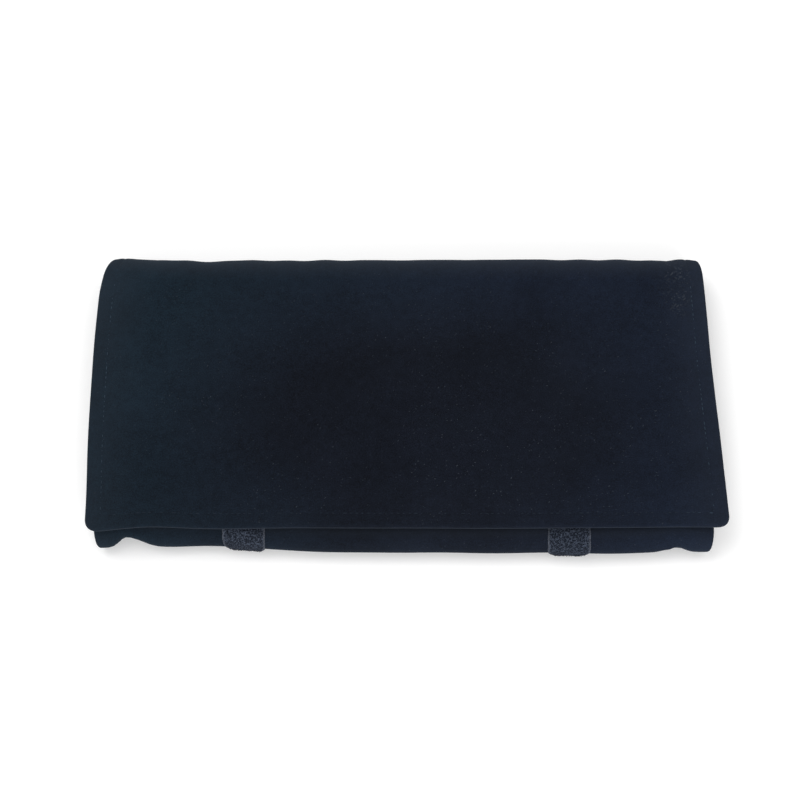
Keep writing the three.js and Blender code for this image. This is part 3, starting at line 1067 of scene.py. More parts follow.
@dataclass(frozen=True)
class Panel:
    """Lays one sheet of a panel on its rows, with rounded free corners and sewn side edges.

    Sides are the sheet's lines along its side edges, and rows its lines across the strip. Inward is 1 if the panel
    lies behind its free edge and -1 if it lies in front of it, and crown is the rise of the padding's middle.
    """

    edge: SewnEdge
    sides: Rings
    rows: Rows
    free_edge: float = 0
    inward: int = 1
    crown: float = 0
    crown_half: float = 148
    crown_depth: float = 76
    middle_columns: int = 120
    # Painted light: highlights on the rounded sides; sheen near the sides, more at the back, and along the free
    # edge.
    edge_rub: float = 0.6
    painted_side_sheen: float = 0.19
    painted_back_sheen: float = 0.5
    painted_front_sheen: float = 0.05
    painted_sheen_run: float = 30
    painted_sheen_falloff: float = 1.5
    hold_run: float = 6

    def across(self, side: Array, middle: float = 0) -> Array:
        """Gives values along a row: a side edge's, one for the whole middle, and the other side edge's."""
        return np.concatenate([side, np.full(self.middle_columns, float(middle)), side[::-1]])

    def insets(self) -> Array:
        """Gives each point's distance in from its side edge, rows by columns."""
        half = self.rows.half[:, None]
        middle = np.abs(np.linspace(-1, 1, self.middle_columns))
        edges = np.ones_like(half) * self.sides.inset
        return np.hstack([edges, half - middle * (half - self.edge.inner), edges[:, ::-1]])

    def net(self) -> Array:
        """Places the points of the sheet's face, rows by columns by 3, in mm."""
        sides, rows, edge = self.sides, self.rows, self.edge
        dx = self.insets()
        ones = np.ones_like(dx)
        half, seam, pad = (value[:, None] for value in (rows.half, rows.seam, rows.pad))
        px, hx, ex = (ones * self.across(side) for side in (sides.reach, sides.height, sides.extra))
        along = (rows.y, rows.inset, rows.reach, rows.height, rows.extra)
        y, dy, py, hy, ey = (ones * value[:, None] for value in along)
        sign = np.where(np.arange(dx.shape[1]) < dx.shape[1] / 2, -1, 1)
        side_leads = px >= py
        ring_height = np.where(side_leads, hx + seam * ex, hy + seam * ey)
        relief = edge.relief(np.minimum(dx, dy)) if np.any(sides.extra) else 0
        flat_height = sides.height[-1] + seam * relief
        corner = (px > 0) & (py > 0)
        arc = edge.seam - np.where(side_leads, dx, dy)
        angle = np.arctan2(py, px)
        out_x, out_y = (np.abs(turn(angle)) ** edge.squareness for turn in (np.cos, np.sin))
        x = np.where(corner, sign * (half - edge.seam + arc * out_x), sign * (half - dx))
        y = np.where(corner, self.free_edge + self.inward * (edge.seam - arc * out_y), y)
        domed = (1 - (x / self.crown_half) ** 2) * np.clip(1 - (y / self.crown_depth) ** 2, 0, 1)
        cushion = (pad + self.crown * domed * np.sign(pad)) * edge.climb(dx) * edge.climb(dy)
        height = np.where(np.maximum(px, py) > 0, ring_height, flat_height) + cushion
        y = y + rows.out_y[:, None] * height
        return np.stack([x, y, rows.z[:, None] + rows.out_z[:, None] * height], axis=-1)

    def wear_and_painted_light(self, inset: Array) -> Array:
        """Gives the share of painted sheen at distances from an edge."""
        return (1 - np.clip(inset / self.painted_sheen_run, 0, 1)) ** self.painted_sheen_falloff

    def rub(self) -> Array:
        """Gives how far painted highlights and sheen make each net point paler along the sewn edges, from 0 to 1."""
        rows = self.rows
        back = 1 + self.painted_back_sheen * ramp(rows.y, start=0, end=70)
        # Painted sheen near the sewn sides, stronger towards the back.
        brushed = self.painted_side_sheen * self.wear_and_painted_light(self.insets()) * back[:, None]
        front = self.painted_front_sheen * self.wear_and_painted_light(rows.inset)
        painted_light = np.maximum(self.across(self.edge_rub * self.sides.rub)[None, :], rows.rub[:, None])
        return np.maximum(painted_light, brushed + front[:, None])

    def held(self) -> Array:
        """Gives how firmly the seams and the bends hold each point of the net, from 0 to 1."""
        across = self.across(self.sides.inset, self.edge.inner)
        inset = np.minimum(across[None, :], self.rows.inset[:, None])
        free = ramp(inset, self.edge.seam, self.edge.seam + self.hold_run)
        pad = np.abs(self.rows.pad)
        return 1 - free * ramp(pad / pad.max(), start=0.8, end=1)[:, None]

    def seams(self, net: Array, within: slice, free: int) -> list[Array]:
        """Gives the points under the stitching, along both sides within some rows and along the free row."""
        at_seam = self.edge.seam_index(self.sides)
        return [net[within, at_seam], net[within, -1 - at_seam], net[free, at_seam : net.shape[1] - at_seam]]


def velvet_sheet(
    name: str, net: Array, layer: tuple[Finish, Slot], node: str, hold: Hold, carry: Callable, **how: object
) -> None:
    """Makes one sheet of the strip, dresses it and hands it to carry.

    Args:
        name: The piece's name.
        net: Points of its outer face, in mm.
        layer: Its finish and slot.
        node: The solid that it replaces.
        hold: How it is held; not used.
        carry: What is done with it last: riding it on a body, or baking its place into its mesh.
        **how: More about the sheet, as sheet_from_net takes it.
    """
    piece = sheet_from_net(name, net, VELVET_THICKNESS, **how)
    carry(dress(piece, *layer, [node]))
    flat_size(net)


@dataclass(frozen=True)
class StitchRow:
    """Topstitching: short thread stitches along a line."""

    length: float = 2.0
    pitch: float = 2.7
    thickness: float = 0.36
    lift: float = -0.06
    unevenness: float = 0.12
    dive: float = 0.6
    look_ahead: float = 0.8
    shortest: float = 1e-6

    def stitch(self) -> Piece:
        """Models one stitch along X, which dives into the cloth at its ends."""
        piece = rod("stitch", vertices=6, radius=self.thickness / 2 * MM, length=self.length * MM)
        with editing(piece):
            bpy.ops.mesh.subdivide(number_cuts=1)
        for vertex in piece.data.vertices:
            end = abs(vertex.co.x) / (self.length / 2 * MM)
            vertex.co.z -= self.dive * self.thickness * MM * end**2
        smooth(piece, degrees=60)
        return piece

    def places(self, line: Array, up: Place) -> list[Matrix]:
        """Spaces stitches along a line.

        Args:
            line: Points of the line, in mm.
            up: The cloth's outward direction.

        Returns:
            Where each stitch goes, in metres.
        """
        steps = np.linalg.norm(np.diff(line, axis=0), axis=1)
        run = np.concatenate([[0], np.cumsum(steps)])
        chance = random.Random(round(float(run[-1]) * 10))
        normal = Vector(up)
        found = []
        for start in np.arange(self.pitch / 2, run[-1] - self.pitch / 2, self.pitch):
            at, ahead = (
                np.array([np.interp(place, run, line[:, axis]) for axis in range(3)])
                for place in (start, start + self.look_ahead)
            )
            along = Vector(ahead - at)
            if along.length < self.shortest:
                continue
            across = normal.cross(along.normalized()).normalized()
            place = Vector(at) + normal * (self.lift + chance.uniform(-self.unevenness, self.unevenness))
            turn = Matrix((across.cross(normal), across, normal)).transposed().to_4x4()
            found.append(Matrix.Translation(place * MM) @ turn)
        return found

    def sew(self, name: str, lines: Sequence[tuple[Array, Place]]) -> Piece:
        """Sews stitches along lines, each given by its points and the cloth's outward direction."""
        return copies_joined(name, self.stitch(), [place for line, up in lines for place in self.places(line, up)])

    def sew_on(self, name: str, body: str, lines: Sequence[Array], up: Place) -> None:
        """Sews stitches along lines into the cloth of one body, all with the same outward direction."""
        ride(dress(self.sew(name, [(line, up) for line in lines]), THREAD, None, []), body)


INNER_STITCHES = StitchRow(lift=0.06)
FINE_STITCHES = StitchRow(length=1.5, pitch=2.1, thickness=0.32, lift=0.06, unevenness=0.03)


# Shape of the whole roll


@dataclass(frozen=True)
class RollShape:
    """Sizes that the roll's panels and bends share."""

    half: float = 148
    lower_half: float = 144
    edge: SewnEdge = SewnEdge()
    split: float = -42
    lead: float = 6
    base_pad: float = 2.5
    lower_pad: float = 1.3
    flap_pad: float = 2.1
    flap_crown: float = 0.9
    flap_floor: float = 17.0
    flap_front: float = -73.4
    lower_top: float = 14.3
    lower_free: float = -4.2
    foam_inset: float = 17
    tape_middle: float = 74.5
    tape_shift: float = 2.2
    front_turn: Span = (-69.5, 4.8)
    lower_turn: Span = (5.6, 10.4)
    back: Bend = Bend(side=1, outermost=81, middle=9.45, low_reach=9.5, high_reach=14, top=21.4)
    front: Bend = Bend(side=-1, outermost=-79.7, middle=7.15, low_reach=9, high_reach=10.5, top=14.3)

    def tape_place(self, side: int) -> float:
        """Gives the middle of the closing tapes on one side."""
        return side * self.tape_middle + self.tape_shift

    def base_to_back(self) -> Crossing:
        """Where the cloth turns from the base into the back bend."""
        return Crossing("base", "back_fold", (self.back.foot(), 0), self.back.point(self.split))

    def back_to_flap(self) -> Crossing:
        """Where the cloth turns from the back bend into the flap."""
        return Crossing("back_fold", "flap", self.back.point(0), (self.back.crest(), self.back.top))

    def base_to_front(self) -> Crossing:
        """Where the cloth turns from the base into the front bend."""
        start = (self.front.foot() + self.lead, self.edge.thickness)
        return Crossing("base", "front_fold", start, self.front_turn)

    def front_to_lower(self) -> Crossing:
        """Where the cloth turns from the front bend into the lower panel."""
        start, end = ((self.front.crest(), height) for height in self.lower_turn)
        return Crossing("front_fold", "lower_panel", start, end)


@dataclass(frozen=True)
class FlapDrape:
    """How the flap lies: a little askew, drooping at its front corners, uneven, and puckered at its back corners."""

    half: float = 148
    front: float = -73.4
    back: float = 74
    depth: float = 149
    skew: float = 1.9
    droop: float = 0.15
    tape_hold: float = 0.7
    left_droop: float = 1.2
    right_droop: float = 0.5
    unevenness: float = 0.28
    pucker: float = 0.14
    back_draw: float = 2.2
    middle_flare: float = 1.0
    front_draw: float = 1.5
    right_flare: float = 0.9
    left_round: float = 2.8
    right_round: float = 1.5
    round_start: float = 66
    round_run: float = 14
    swell_ripple: float = 0.25
    swell_back: float = 0.75
    swell_up: float = 0.65
    wave_falloff: float = 6
    back_dents: tuple[Place, ...] = (
        (-138, 16, 0.7),
        (-124, 4, -0.3),
        (-100, 13, -0.6),
        (-60, 30, -0.2),
        (131, 3.5, -0.5),
        (139, 5, 0.3),
        (60, 40, 0.3),
    )
    front_waves: tuple[Place, ...] = ((-146, 14, -1.2), (-117, 16, 0.8), (-85, 18, -0.3), (140, 35, 0.8))

    def lay(self, net: Array) -> Array:
        """Moves the points of a flat, straight flap to how it lies.

        Args:
            net: Points of one of the flap's sheets, in mm.

        Returns:
            The moved points.
        """
        x, y, z = np.moveaxis(net, -1, 0)
        forward = np.clip((self.back - y) / self.depth, 0, 1)
        aloft = ramp(z, start=3, end=10)
        ripples = Ripples(seed=23, shortest=14, longest=40).at(x, np.zeros_like(x))
        dents = humps(x, self.back_dents) + self.swell_ripple * ripples
        swell = dents * ramp(y, start=58, end=78) * aloft
        waves = humps(x, self.front_waves) * forward**self.wave_falloff
        held = self.tape_hold * hump(np.abs(x), centre=75, spread=22)
        sag = self.droop * (1 - held) + self.left_droop * hump(x, -self.half, spread=26)
        sag = (sag + self.right_droop * hump(x, self.half, spread=22)) * ramp(y, start=-30, end=-74)
        moved_x = x + self.skew * forward + self.sideways(x, y) * aloft
        moved_y = y + self.swell_back * swell + waves
        moved_z = z - sag + self.lift(x, y) + self.swell_up * swell
        return np.stack([moved_x, moved_y, moved_z], axis=-1)

    def lift(self, x: Array, y: Array) -> Array:
        """Gives the unevenness of the flap and the puckers along its seams."""
        side, ahead = self.half - np.abs(x), y - self.front
        puckers = Ripples(seed=5, shortest=5, longest=11).at(x * (ahead < side), y * (ahead >= side))
        puckers = self.pucker * puckers * hump(np.minimum(side, ahead), centre=9, spread=4.5)
        uneven = self.unevenness * Ripples(seed=11, shortest=26, longest=90).at(x, y)
        return (uneven + puckers) * ramp(y, start=60, end=35)

    def sideways(self, x: Array, y: Array) -> Array:
        """Gives how far the side edges are drawn in, flared and rounded at the back corners."""
        drawn = self.back_draw * ramp(y, start=54, end=80) + self.front_draw * ramp(y, start=-15, end=-70)
        drawn = drawn - self.middle_flare * hump(y, centre=30, spread=45)
        flared = self.right_flare * ramp(y, start=10, end=65)
        left_round = self.left_round * hump(x, -self.half, spread=10)
        right_round = self.right_round * hump(x, self.half, spread=8)
        rounding = (left_round - right_round) * np.clip((y - self.round_start) / self.round_run, 0, 1) ** 2
        on_left, on_right = (hump(x, side * self.half, spread=40) for side in SIDES)
        return on_left * drawn + on_right * flared + rounding


@dataclass(frozen=True)
class FrontDrape:
    """How the front bend lies: pressed in beside its end lobes, with soft creases."""

    left: float = 4.6
    right: float = 2.5
    left_place: float = -129.4
    right_place: float = 126.5
    left_spreads: Span = (5.2, 9.5)
    right_spread: float = 5.5
    high_dent: float = 0.45
    dent_lift: float = 0.36
    left_back: float = 2.6
    right_back: float = 0.3
    waves: tuple[Place, ...] = ((-80, 38, 1.1), (85, 20, -0.7))
    ripple: float = 0.35
    ripple_slant: float = 0.8
    tuck: float = 2.6
    tuck_place: float = 144
    tuck_top: float = 14
    tuck_run: float = 13
    crease: float = 1.1
    crease_slant: float = 0.95
    crease_level: float = 4
    left_end: float = 2.9
    right_end: float = -0.9

    def lay(self, net: Array) -> Array:
        """Moves the points of a straight front bend to how it lies.

        Args:
            net: Points of a sheet near the front, in mm.

        Returns:
            The moved points.
        """
        x, y, z = np.moveaxis(net, -1, 0)
        bulge = ramp(y, start=-62, end=-79)
        low = ramp(z, start=15, end=3)
        dent = self.left * hump(x, self.left_place, np.where(x < self.left_place, *self.left_spreads))
        dent = (dent + self.right * hump(x, self.right_place, self.right_spread)) * bulge
        set_back = self.left_back * ramp(x, start=-20, end=-110) + self.right_back * ramp(x, start=20, end=110)
        ripples = Ripples(seed=41, shortest=18, longest=60).at(x + self.ripple_slant * z, np.zeros_like(y))
        folded = set_back + humps(x, self.waves) + self.ripple * ripples - self.ridge(x, z)
        moved_x = x + self.sideways(x, z) * bulge
        ends = self.left_end * ramp(x, start=-80, end=-120) + self.right_end * ramp(x, start=80, end=120)
        moved_x = moved_x + ends * ramp(y, start=-50, end=-70)
        moved_y = y + dent * (self.high_dent + (1 - self.high_dent) * low) + folded * bulge
        moved_z = z + self.dent_lift * dent * low * ramp(z, start=-1.2, end=1.8)
        return np.stack([moved_x, moved_y, moved_z], axis=-1)

    def ridge(self, x: Array, z: Array) -> Array:
        """Gives the slanting ridge that the right dent pushes up."""
        from_line = x - self.right_place + self.crease_slant * (z - self.crease_level)
        upright = ramp(z, start=12, end=8) * ramp(z, start=2, end=5)
        return self.crease * hump(from_line, centre=0, spread=1.7) * upright

    def sideways(self, x: Array, z: Array) -> Array:
        """Gives how far the end lobes are tucked in towards the table."""
        left, right = (hump(x, side * self.tuck_place, spread=9) for side in SIDES)
        return self.tuck * (left - right) * np.clip((self.tuck_top - z) / self.tuck_run, 0, 1)


# Sub-assemblies


@dataclass(frozen=True)
class Padding:
    """Foam of a panel, between its two sheets."""

    name: str
    node: str
    body: str
    thickness: float
    fill: float
    rows: int
    columns: int
    bevel: float = 0.5

    def build(self, reach: float, along: Span, top: float, lay: Callable | None = None) -> None:
        """Builds and dresses the foam.

        Args:
            reach: How far it reaches to each side.
            along: Places of its front and its back edge.
            top: Height of its upper face.
            lay: What moves its points to how the panel lies, if anything does.
        """
        net = flat_net(np.linspace(-reach, reach, self.columns), np.linspace(*along, self.rows), top)
        foam = sheet_from_net(self.name, lay(net) if lay else net, self.thickness)
        rounded(foam, self.bevel)
        ride(dress(foam, FOAM, Slot.FOAM, [self.node]), self.body)


@dataclass(frozen=True)
class HookTape:
    """Hook tape under the flap's free edge: a woven band with rows of hooks, sewn on along its border."""

    name: str
    side: int
    setback: float = 6
    run: float = 34
    width: float = 20
    web: float = 0.36
    gap: float = 0.12
    rows: int = 36
    columns: int = 25
    margin: int = 2
    sink: float = 0.02
    slip: float = 0.15
    twist: float = 0.4
    seed: int = 70
    hook: tuple[Place, ...] = ((0, 0, 0), (0.02, 0, -0.28), (0.1, 0, -0.42), (0.24, 0, -0.4), (0.28, 0, -0.28))
    wire: float = 0.11

    def build(self, shape: RollShape, drape: FlapDrape) -> None:
        """Builds and dresses the tape with its hooks and its stitching.

        Args:
            shape: The roll's sizes.
            drape: How the flap lies.
        """
        x = np.linspace(-self.width / 2, self.width / 2, self.columns) + shape.tape_place(self.side)
        first = shape.flap_front + self.setback
        y = np.linspace(first, first + self.run, self.rows)
        net = drape.lay(flat_net(x, y, shape.flap_floor - self.gap - self.web))
        tape = sheet_from_net(f"flap_hooks_{self.name}", net, self.web, outer_up=False)
        rounded(tape, width=0.1)
        hook = fibre("hook", self.hook, self.wire)
        join([tape, copies_joined(f"hooks_{self.name}", hook, self.places(net))])
        ride(dress(tape, HOOK_WEAVE, Slot.HOOK, [f"hook_tape_{self.name}"]), "flap")
        border = (net[1:-1, 1], net[1:-1, -2], net[1, 1:-1], net[-2, 1:-1])
        FINE_STITCHES.sew_on(f"hook_stitching_{self.name}", "flap", border, DOWN)

    def places(self, net: Array) -> list[Matrix]:
        """Spaces the hooks on the band in staggered rows, each row turned against the next, in metres."""
        chance = random.Random(self.seed + self.side)
        found = []
        for row in range(self.margin, self.rows - self.margin):
            for column in range(self.margin, self.columns - self.margin, 2):
                at = net[row, column + row % 2] + (0, chance.uniform(-self.slip, self.slip), self.sink)
                turn = math.pi * (row % 2) + chance.uniform(-self.twist, self.twist)
                found.append(Matrix.Translation(Vector(at) * MM) @ Matrix.Rotation(turn, 4, "Z"))
        return found


@dataclass
class FlapAssembly:
    """The padded flap that comes over from the back: velvet, padding, underside, topstitching and hook tapes."""

    shape: RollShape
    drape: FlapDrape
    foam: Padding = Padding("flap_padding", "flap_foam", "flap", thickness=2.2, fill=0.8, rows=30, columns=60)
    foam_gap: float = 0.3
    foam_back: float = 61.5
    tapes: tuple[HookTape, HookTape] = (HookTape("left", -1), HookTape("right", 1))
    flat_lines: int = 26
    bend_lines: int = 23
    stitched_to: float = 64
    worn_bend: float = 0.36

    def rows(self, rings: Rings, pad: float) -> Rows:
        """Gives the flap's lines from its free edge over the back bend."""
        shape, edge = self.shape, self.shape.edge
        free = Rows.laid(shape.flap_front + rings.inset, shape.flap_floor, (0, 1), shape.half, pad, edge=rings)
        y = np.linspace(shape.flap_front + edge.inner, shape.back.crest(), self.flat_lines + 1)[:-1]
        flat = Rows.laid(y, shape.flap_floor, (0, 1), shape.half, pad)
        degrees = np.linspace(90, shape.split, self.bend_lines)
        y, z, out_y, out_z = shape.back.line(degrees)
        left = ramp(degrees, start=20, end=90)
        inside = edge.thickness + shape.flap_pad * left
        seam = ramp(degrees, start=-30, end=30)
        # Painted sheen along the upper side of the back bend.
        wear_and_painted_light = self.worn_bend * hump(degrees, centre=58, spread=30)
        y, z = y - out_y * inside, z - out_z * inside
        bend = Rows.laid(y, z, (out_y, out_z), shape.half, pad * left, seam, wear_and_painted_light)
        return free.then(flat).then(bend)

    def build(self) -> None:
        """Builds and dresses the flap."""
        shape, edge, lay = self.shape, self.shape.edge, self.drape.lay
        carry = shape.back_to_flap().carry
        rings = edge.cover(padded=True)
        panel = Panel(edge, rings, self.rows(rings, shape.flap_pad), shape.flap_front, 1, shape.flap_crown)
        cover = lay(panel.net())
        how = {"rub": panel.rub(), "held": panel.held()}
        velvet_sheet("flap_velvet", cover, COVER, "flap_cover", Hold.STRETCHED, carry, **how)

        inner_rings = edge.lining(padded=False)
        lining = lay(Panel(edge, inner_rings, self.rows(inner_rings, 0), shape.flap_front).net())
        velvet_sheet("flap_underside", lining, LINING, "flap_lining", Hold.LAID, carry, outer_up=False)

        along = (shape.flap_front + shape.foam_inset, self.foam_back)
        top = shape.flap_floor + VELVET_THICKNESS + self.foam_gap + self.foam.thickness
        self.foam.build(shape.half - shape.foam_inset, along, top, lay)
        front = edge.seam_index(rings)
        last = int(np.argmax(cover[:, cover.shape[1] // 2, 1] > self.stitched_to))
        StitchRow().sew_on("flap_stitching", "flap", panel.seams(cover, slice(front, last), front), UP)
        for tape in self.tapes:
            tape.build(shape, self.drape)


@dataclass
class BaseAssembly:
    """The panel on the table and the lower half of each bend."""

    shape: RollShape
    front_drape: FrontDrape
    foam: Padding = Padding("base_padding", "base_foam", "base", thickness=2.6, fill=0.8, rows=24, columns=48)
    foam_gap: float = 0.25
    foam_setback: float = 16
    flat_lines: int = 36
    bend_lines: int = 13
    lead_lines: int = 5

    def half_at(self, y: Array) -> Array:
        """Gives the strip's half width, which is drawn in towards the front bend."""
        shape = self.shape
        return shape.half + (shape.lower_half - shape.half) * ramp(y, start=-44, end=-68)

    def flat_rows(self, pad: float) -> Rows:
        """Gives the panel's lines between its bends."""
        first, last = self.shape.front.foot() + self.shape.lead, self.shape.back.foot() - self.shape.lead
        y = np.linspace(first, last, self.flat_lines)
        from_bends = np.minimum(y - first, last - y)
        return Rows.laid(y, 0, (0, 1), self.half_at(y), pad * ramp(from_bends, start=0, end=8))

    def bend_rows(self, bend: Bend) -> Rows:
        """Gives the lines of a bend's lower half, from the front to the back."""
        y, z, out_y, out_z = bend.line(np.linspace(-90, self.shape.split, self.bend_lines))
        run_up = bend.foot() - bend.side * np.linspace(self.shape.lead, 0, self.lead_lines + 1)[:-1]
        flat = Rows.laid(run_up, 0, (0, 1), self.half_at(run_up), 0)
        seam = ramp(np.linspace(1, 0, self.bend_lines), 0, 1)
        rows = flat.then(Rows.laid(y, z, (-out_y, -out_z), self.half_at(y), 0, seam))
        return rows if bend.side > 0 else rows.backwards()

    def build(self) -> None:
        """Builds and dresses the base panel and the lower halves of the bends."""
        shape, edge, lay = self.shape, self.shape.edge, self.front_drape.lay
        carry = partial(ride, body="base")
        cover_rings, lining_rings = edge.cover(padded=False), edge.lining(padded=True)

        cover = lay(Panel(edge, cover_rings, self.flat_rows(0)).net())
        velvet_sheet("base_velvet", cover, COVER, "base_cover", Hold.LAID, carry, outer_up=False)

        panel = Panel(edge, lining_rings, self.flat_rows(shape.base_pad))
        lining = lay(panel.net())
        velvet_sheet("base_inner", lining, LINING, "base_lining", Hold.STRETCHED, carry, held=panel.held())

        *sides, _ = panel.seams(lining, slice(1, -1), 0)
        INNER_STITCHES.sew_on("base_stitching", "base", sides, UP)
        along = (shape.front.foot() + self.foam_setback, shape.back.foot() - self.foam_setback)
        top = VELVET_THICKNESS + self.foam_gap + self.foam.thickness
        self.foam.build(shape.half - shape.foam_inset, along, top)
        half_bends = (
            ("back", shape.back, shape.base_to_back(), np.asarray),
            ("front", shape.front, shape.base_to_front(), lay),
        )
        for name, bend, crossing, bend_lay in half_bends:
            rows = self.bend_rows(bend)
            for rings, piece, layer, node, up in (
                (cover_rings, "velvet", COVER, "cover", False),
                (lining_rings, "inner", LINING, "lining", True),
            ):
                net = bend_lay(Panel(edge, rings, rows).net())
                names = {"name": f"{name}_bend_{piece}", "node": f"{name}_fold_{node}"}
                velvet_sheet(**names, net=net, layer=layer, hold=Hold.FOLDED, carry=crossing.carry, outer_up=up)


@dataclass(frozen=True)
class LoopTape:
    """Loop tape sewn round the front bend and on over the lower panel, with a ragged lower end that hangs free.

    Each corner of that end is given by how wide and how long its worn part is, the left one first, and fluff is how
    pale its torn loops are.
    """

    name: str
    side: int
    corners: tuple[Span, Span]
    fluff: float
    fluff_run: float = 14
    fluff_loss: float = 0.6
    width: float = 19.6
    end: float = -33.2
    end_cut: float = 1.5
    end_run: float = 3
    leaves: float = -14
    hang: float = 4.4
    hang_lines: int = 15
    bend_lines: int = 40
    flat_lines: int = 65
    columns: int = 45
    crowding: float = 0.35
    raggedness: float = 0.8
    ragged_run: float = 2.5
    ragged_blur: Place = (0.2, 0.6, 0.2)
    wobble: float = 0.12
    web: float = 0.44
    web_top: float = 0.5
    loop_height: float = 0.34
    loop_unevenness: float = 0.2
    edge_drop: float = 0.25
    edge_band: float = 0.2
    net_seed: int = 17
    fibre_seed: int = 90
    curl_count: int = 650
    curl_sizes: Span = (0.7, 1.25)
    curls: tuple = (
        (((-0.3, 0, -0.1), (-0.26, 0, 0.2), (0, 0.08, 0.36), (0.26, 0.02, 0.2), (0.2, 0, -0.1)), 0.1),
        (((-0.2, 0, -0.1), (-0.3, 0.1, 0.22), (0.05, 0.2, 0.3), (0.3, 0.05, 0.12)), 0.09),
    )
    thread_count: int = 22
    thread_sizes: Span = (0.25, 0.55)
    thread: tuple[Place, ...] = ((0, 0.2, -0.1), (0.1, -0.3, 0.02), (-0.06, -0.75, 0.1), (0.12, -1.15, 0.08))
    thread_thickness: float = 0.11

    def half_at(self, run: Array, corner: Span) -> Array:
        """Gives half the tape's width along its run, drawn in at its cut end and at a corner of its lower end."""
        width, length = corner
        wear_and_painted_light = width * (1 - np.sqrt(1 - (1 - np.clip(run / length, 0, 1)) ** 2))
        cut = self.end_cut * (1 - np.clip((run[-1] - run) / self.end_run, 0, 1) ** 0.5)
        return self.width / 2 - wear_and_painted_light - cut

    def net(self, shape: RollShape) -> tuple[Array, Array]:
        """Places the tape's outer face, whose selvages are flat with the loops standing between them.

        Args:
            shape: The roll's sizes.

        Returns:
            The points, in mm, and how pale each is, which is 1 along the selvages.
        """
        y, z, out_y, out_z = shape.front.line(np.linspace(self.leaves, 90, self.bend_lines))
        hang = np.linspace(self.hang, 0, self.hang_lines + 1)[:-1]
        flat = np.linspace(shape.front.crest(), self.end, self.flat_lines + 1)[1:]
        y = np.concatenate([y[0] - out_z[0] * hang, y, flat])
        z = np.concatenate([z[0] + out_y[0] * hang, z, np.full(len(flat), shape.front.top)])
        out_y, out_z = (
            np.concatenate([np.full(len(hang), out[0]), out, np.full(len(flat), level)])
            for out, level in ((out_y, 0.0), (out_z, 1.0))
        )
        run = np.concatenate([[0], np.cumsum(np.hypot(np.diff(y), np.diff(z)))])
        chance = np.random.default_rng(self.net_seed + self.side)
        left, right = (self.half_at(run, corner)[:, None] for corner in self.corners)
        ragged = np.convolve(chance.uniform(-1, 1, self.columns + 2), self.ragged_blur, "valid")
        slip = self.raggedness * ragged * (1 - np.clip(run / self.ragged_run, 0, 1))[:, None]
        even = np.linspace(-1, 1, self.columns)
        share = self.crowding * np.sin(even * math.pi / 2) + (1 - self.crowding) * even
        half = np.where(share < 0, left, right)
        x = half * share + self.wobble * chance.uniform(-1, 1, (len(run), 1))
        from_edge = half * (1 - np.abs(share))
        loops = ramp(from_edge, start=0.9, end=1.6) * ramp(run, start=0, end=2)[:, None]
        uneven = self.loop_unevenness * chance.uniform(-1, 1, x.shape)
        height = self.web_top + loops * (self.loop_height + uneven) - self.edge_drop * (from_edge < self.edge_band)
        y, z, out_y, out_z = (value[:, None] for value in (y, z, out_y, out_z))
        y, z = y + out_y * height - out_z * slip, z + out_z * height + out_y * slip
        points = np.stack([x + shape.tape_place(self.side), y, z], axis=-1)
        fluff = self.fluff * (1 - self.fluff_loss * np.clip(run / self.fluff_run, 0, 1))[:, None]
        return points, np.maximum(1 - ramp(from_edge, start=0.4, end=1.1), fluff)

    def build(self, shape: RollShape, drape: FrontDrape) -> None:
        """Builds and dresses the tape with its curled loops and the loose threads of its lower end.

        Args:
            shape: The roll's sizes.
            drape: How the front bend lies.
        """
        net, pale = self.net(shape)
        net = drape.lay(net)
        tape = sheet_from_net(f"loop_strip_{self.name}", net, self.web, rub=pale)
        chance = random.Random(self.fibre_seed + self.side)
        joined = [tape]
        for line, thickness in self.curls:
            places = [self.curl_place(net, chance) for _ in range(self.curl_count)]
            joined.append(copies_joined(f"curls_{self.name}", fibre("curl", line, thickness), places))
        places = [self.thread_place(net, chance) for _ in range(self.thread_count)]
        loose = fibre("loose", self.thread, self.thread_thickness)
        joined.append(copies_joined(f"loose_{self.name}", loose, places))
        join(joined)
        nodes = [f"loop_tape_{self.name}_front", f"loop_tape_{self.name}_top"]
        shape.front_to_lower().carry(dress(tape, LOOPS, Slot.LOOP, nodes))

    def curl_place(self, net: Array, chance: random.Random) -> Matrix:
        """Finds a place for one curled loop on the tape's face, in metres."""
        rows, columns = net.shape[:2]
        row, column = chance.randrange(2, rows - 4), chance.randrange(5, columns - 5)
        along = net[row + 1, column] - net[row, column]
        across = net[row, column + 1] - net[row, column]
        up = Vector(across).cross(Vector(along)).normalized()
        turn = up.to_track_quat("Z", "Y").to_matrix().to_4x4()
        spin = Matrix.Rotation(chance.uniform(0, math.tau), 4, "Z")
        size = Matrix.Scale(chance.uniform(*self.curl_sizes), 4)
        at = Vector(net[row, column] + chance.random() * along + chance.random() * across)
        return Matrix.Translation(at * MM) @ turn @ spin @ size

    def thread_place(self, net: Array, chance: random.Random) -> Matrix:
        """Finds a place for one loose thread on the tape's lower end, in metres."""
        column = chance.randrange(1, net.shape[1] - 2)
        across = Vector(net[0, column + 1] - net[0, column]).normalized()
        along = Vector(net[4, column] - net[0, column]).normalized()
        turn = Matrix((across, along, across.cross(along))).transposed().to_4x4()
        size = Matrix.Scale(chance.uniform(*self.thread_sizes), 4)
        return Matrix.Translation(Vector(net[0, column]) * MM) @ turn @ size


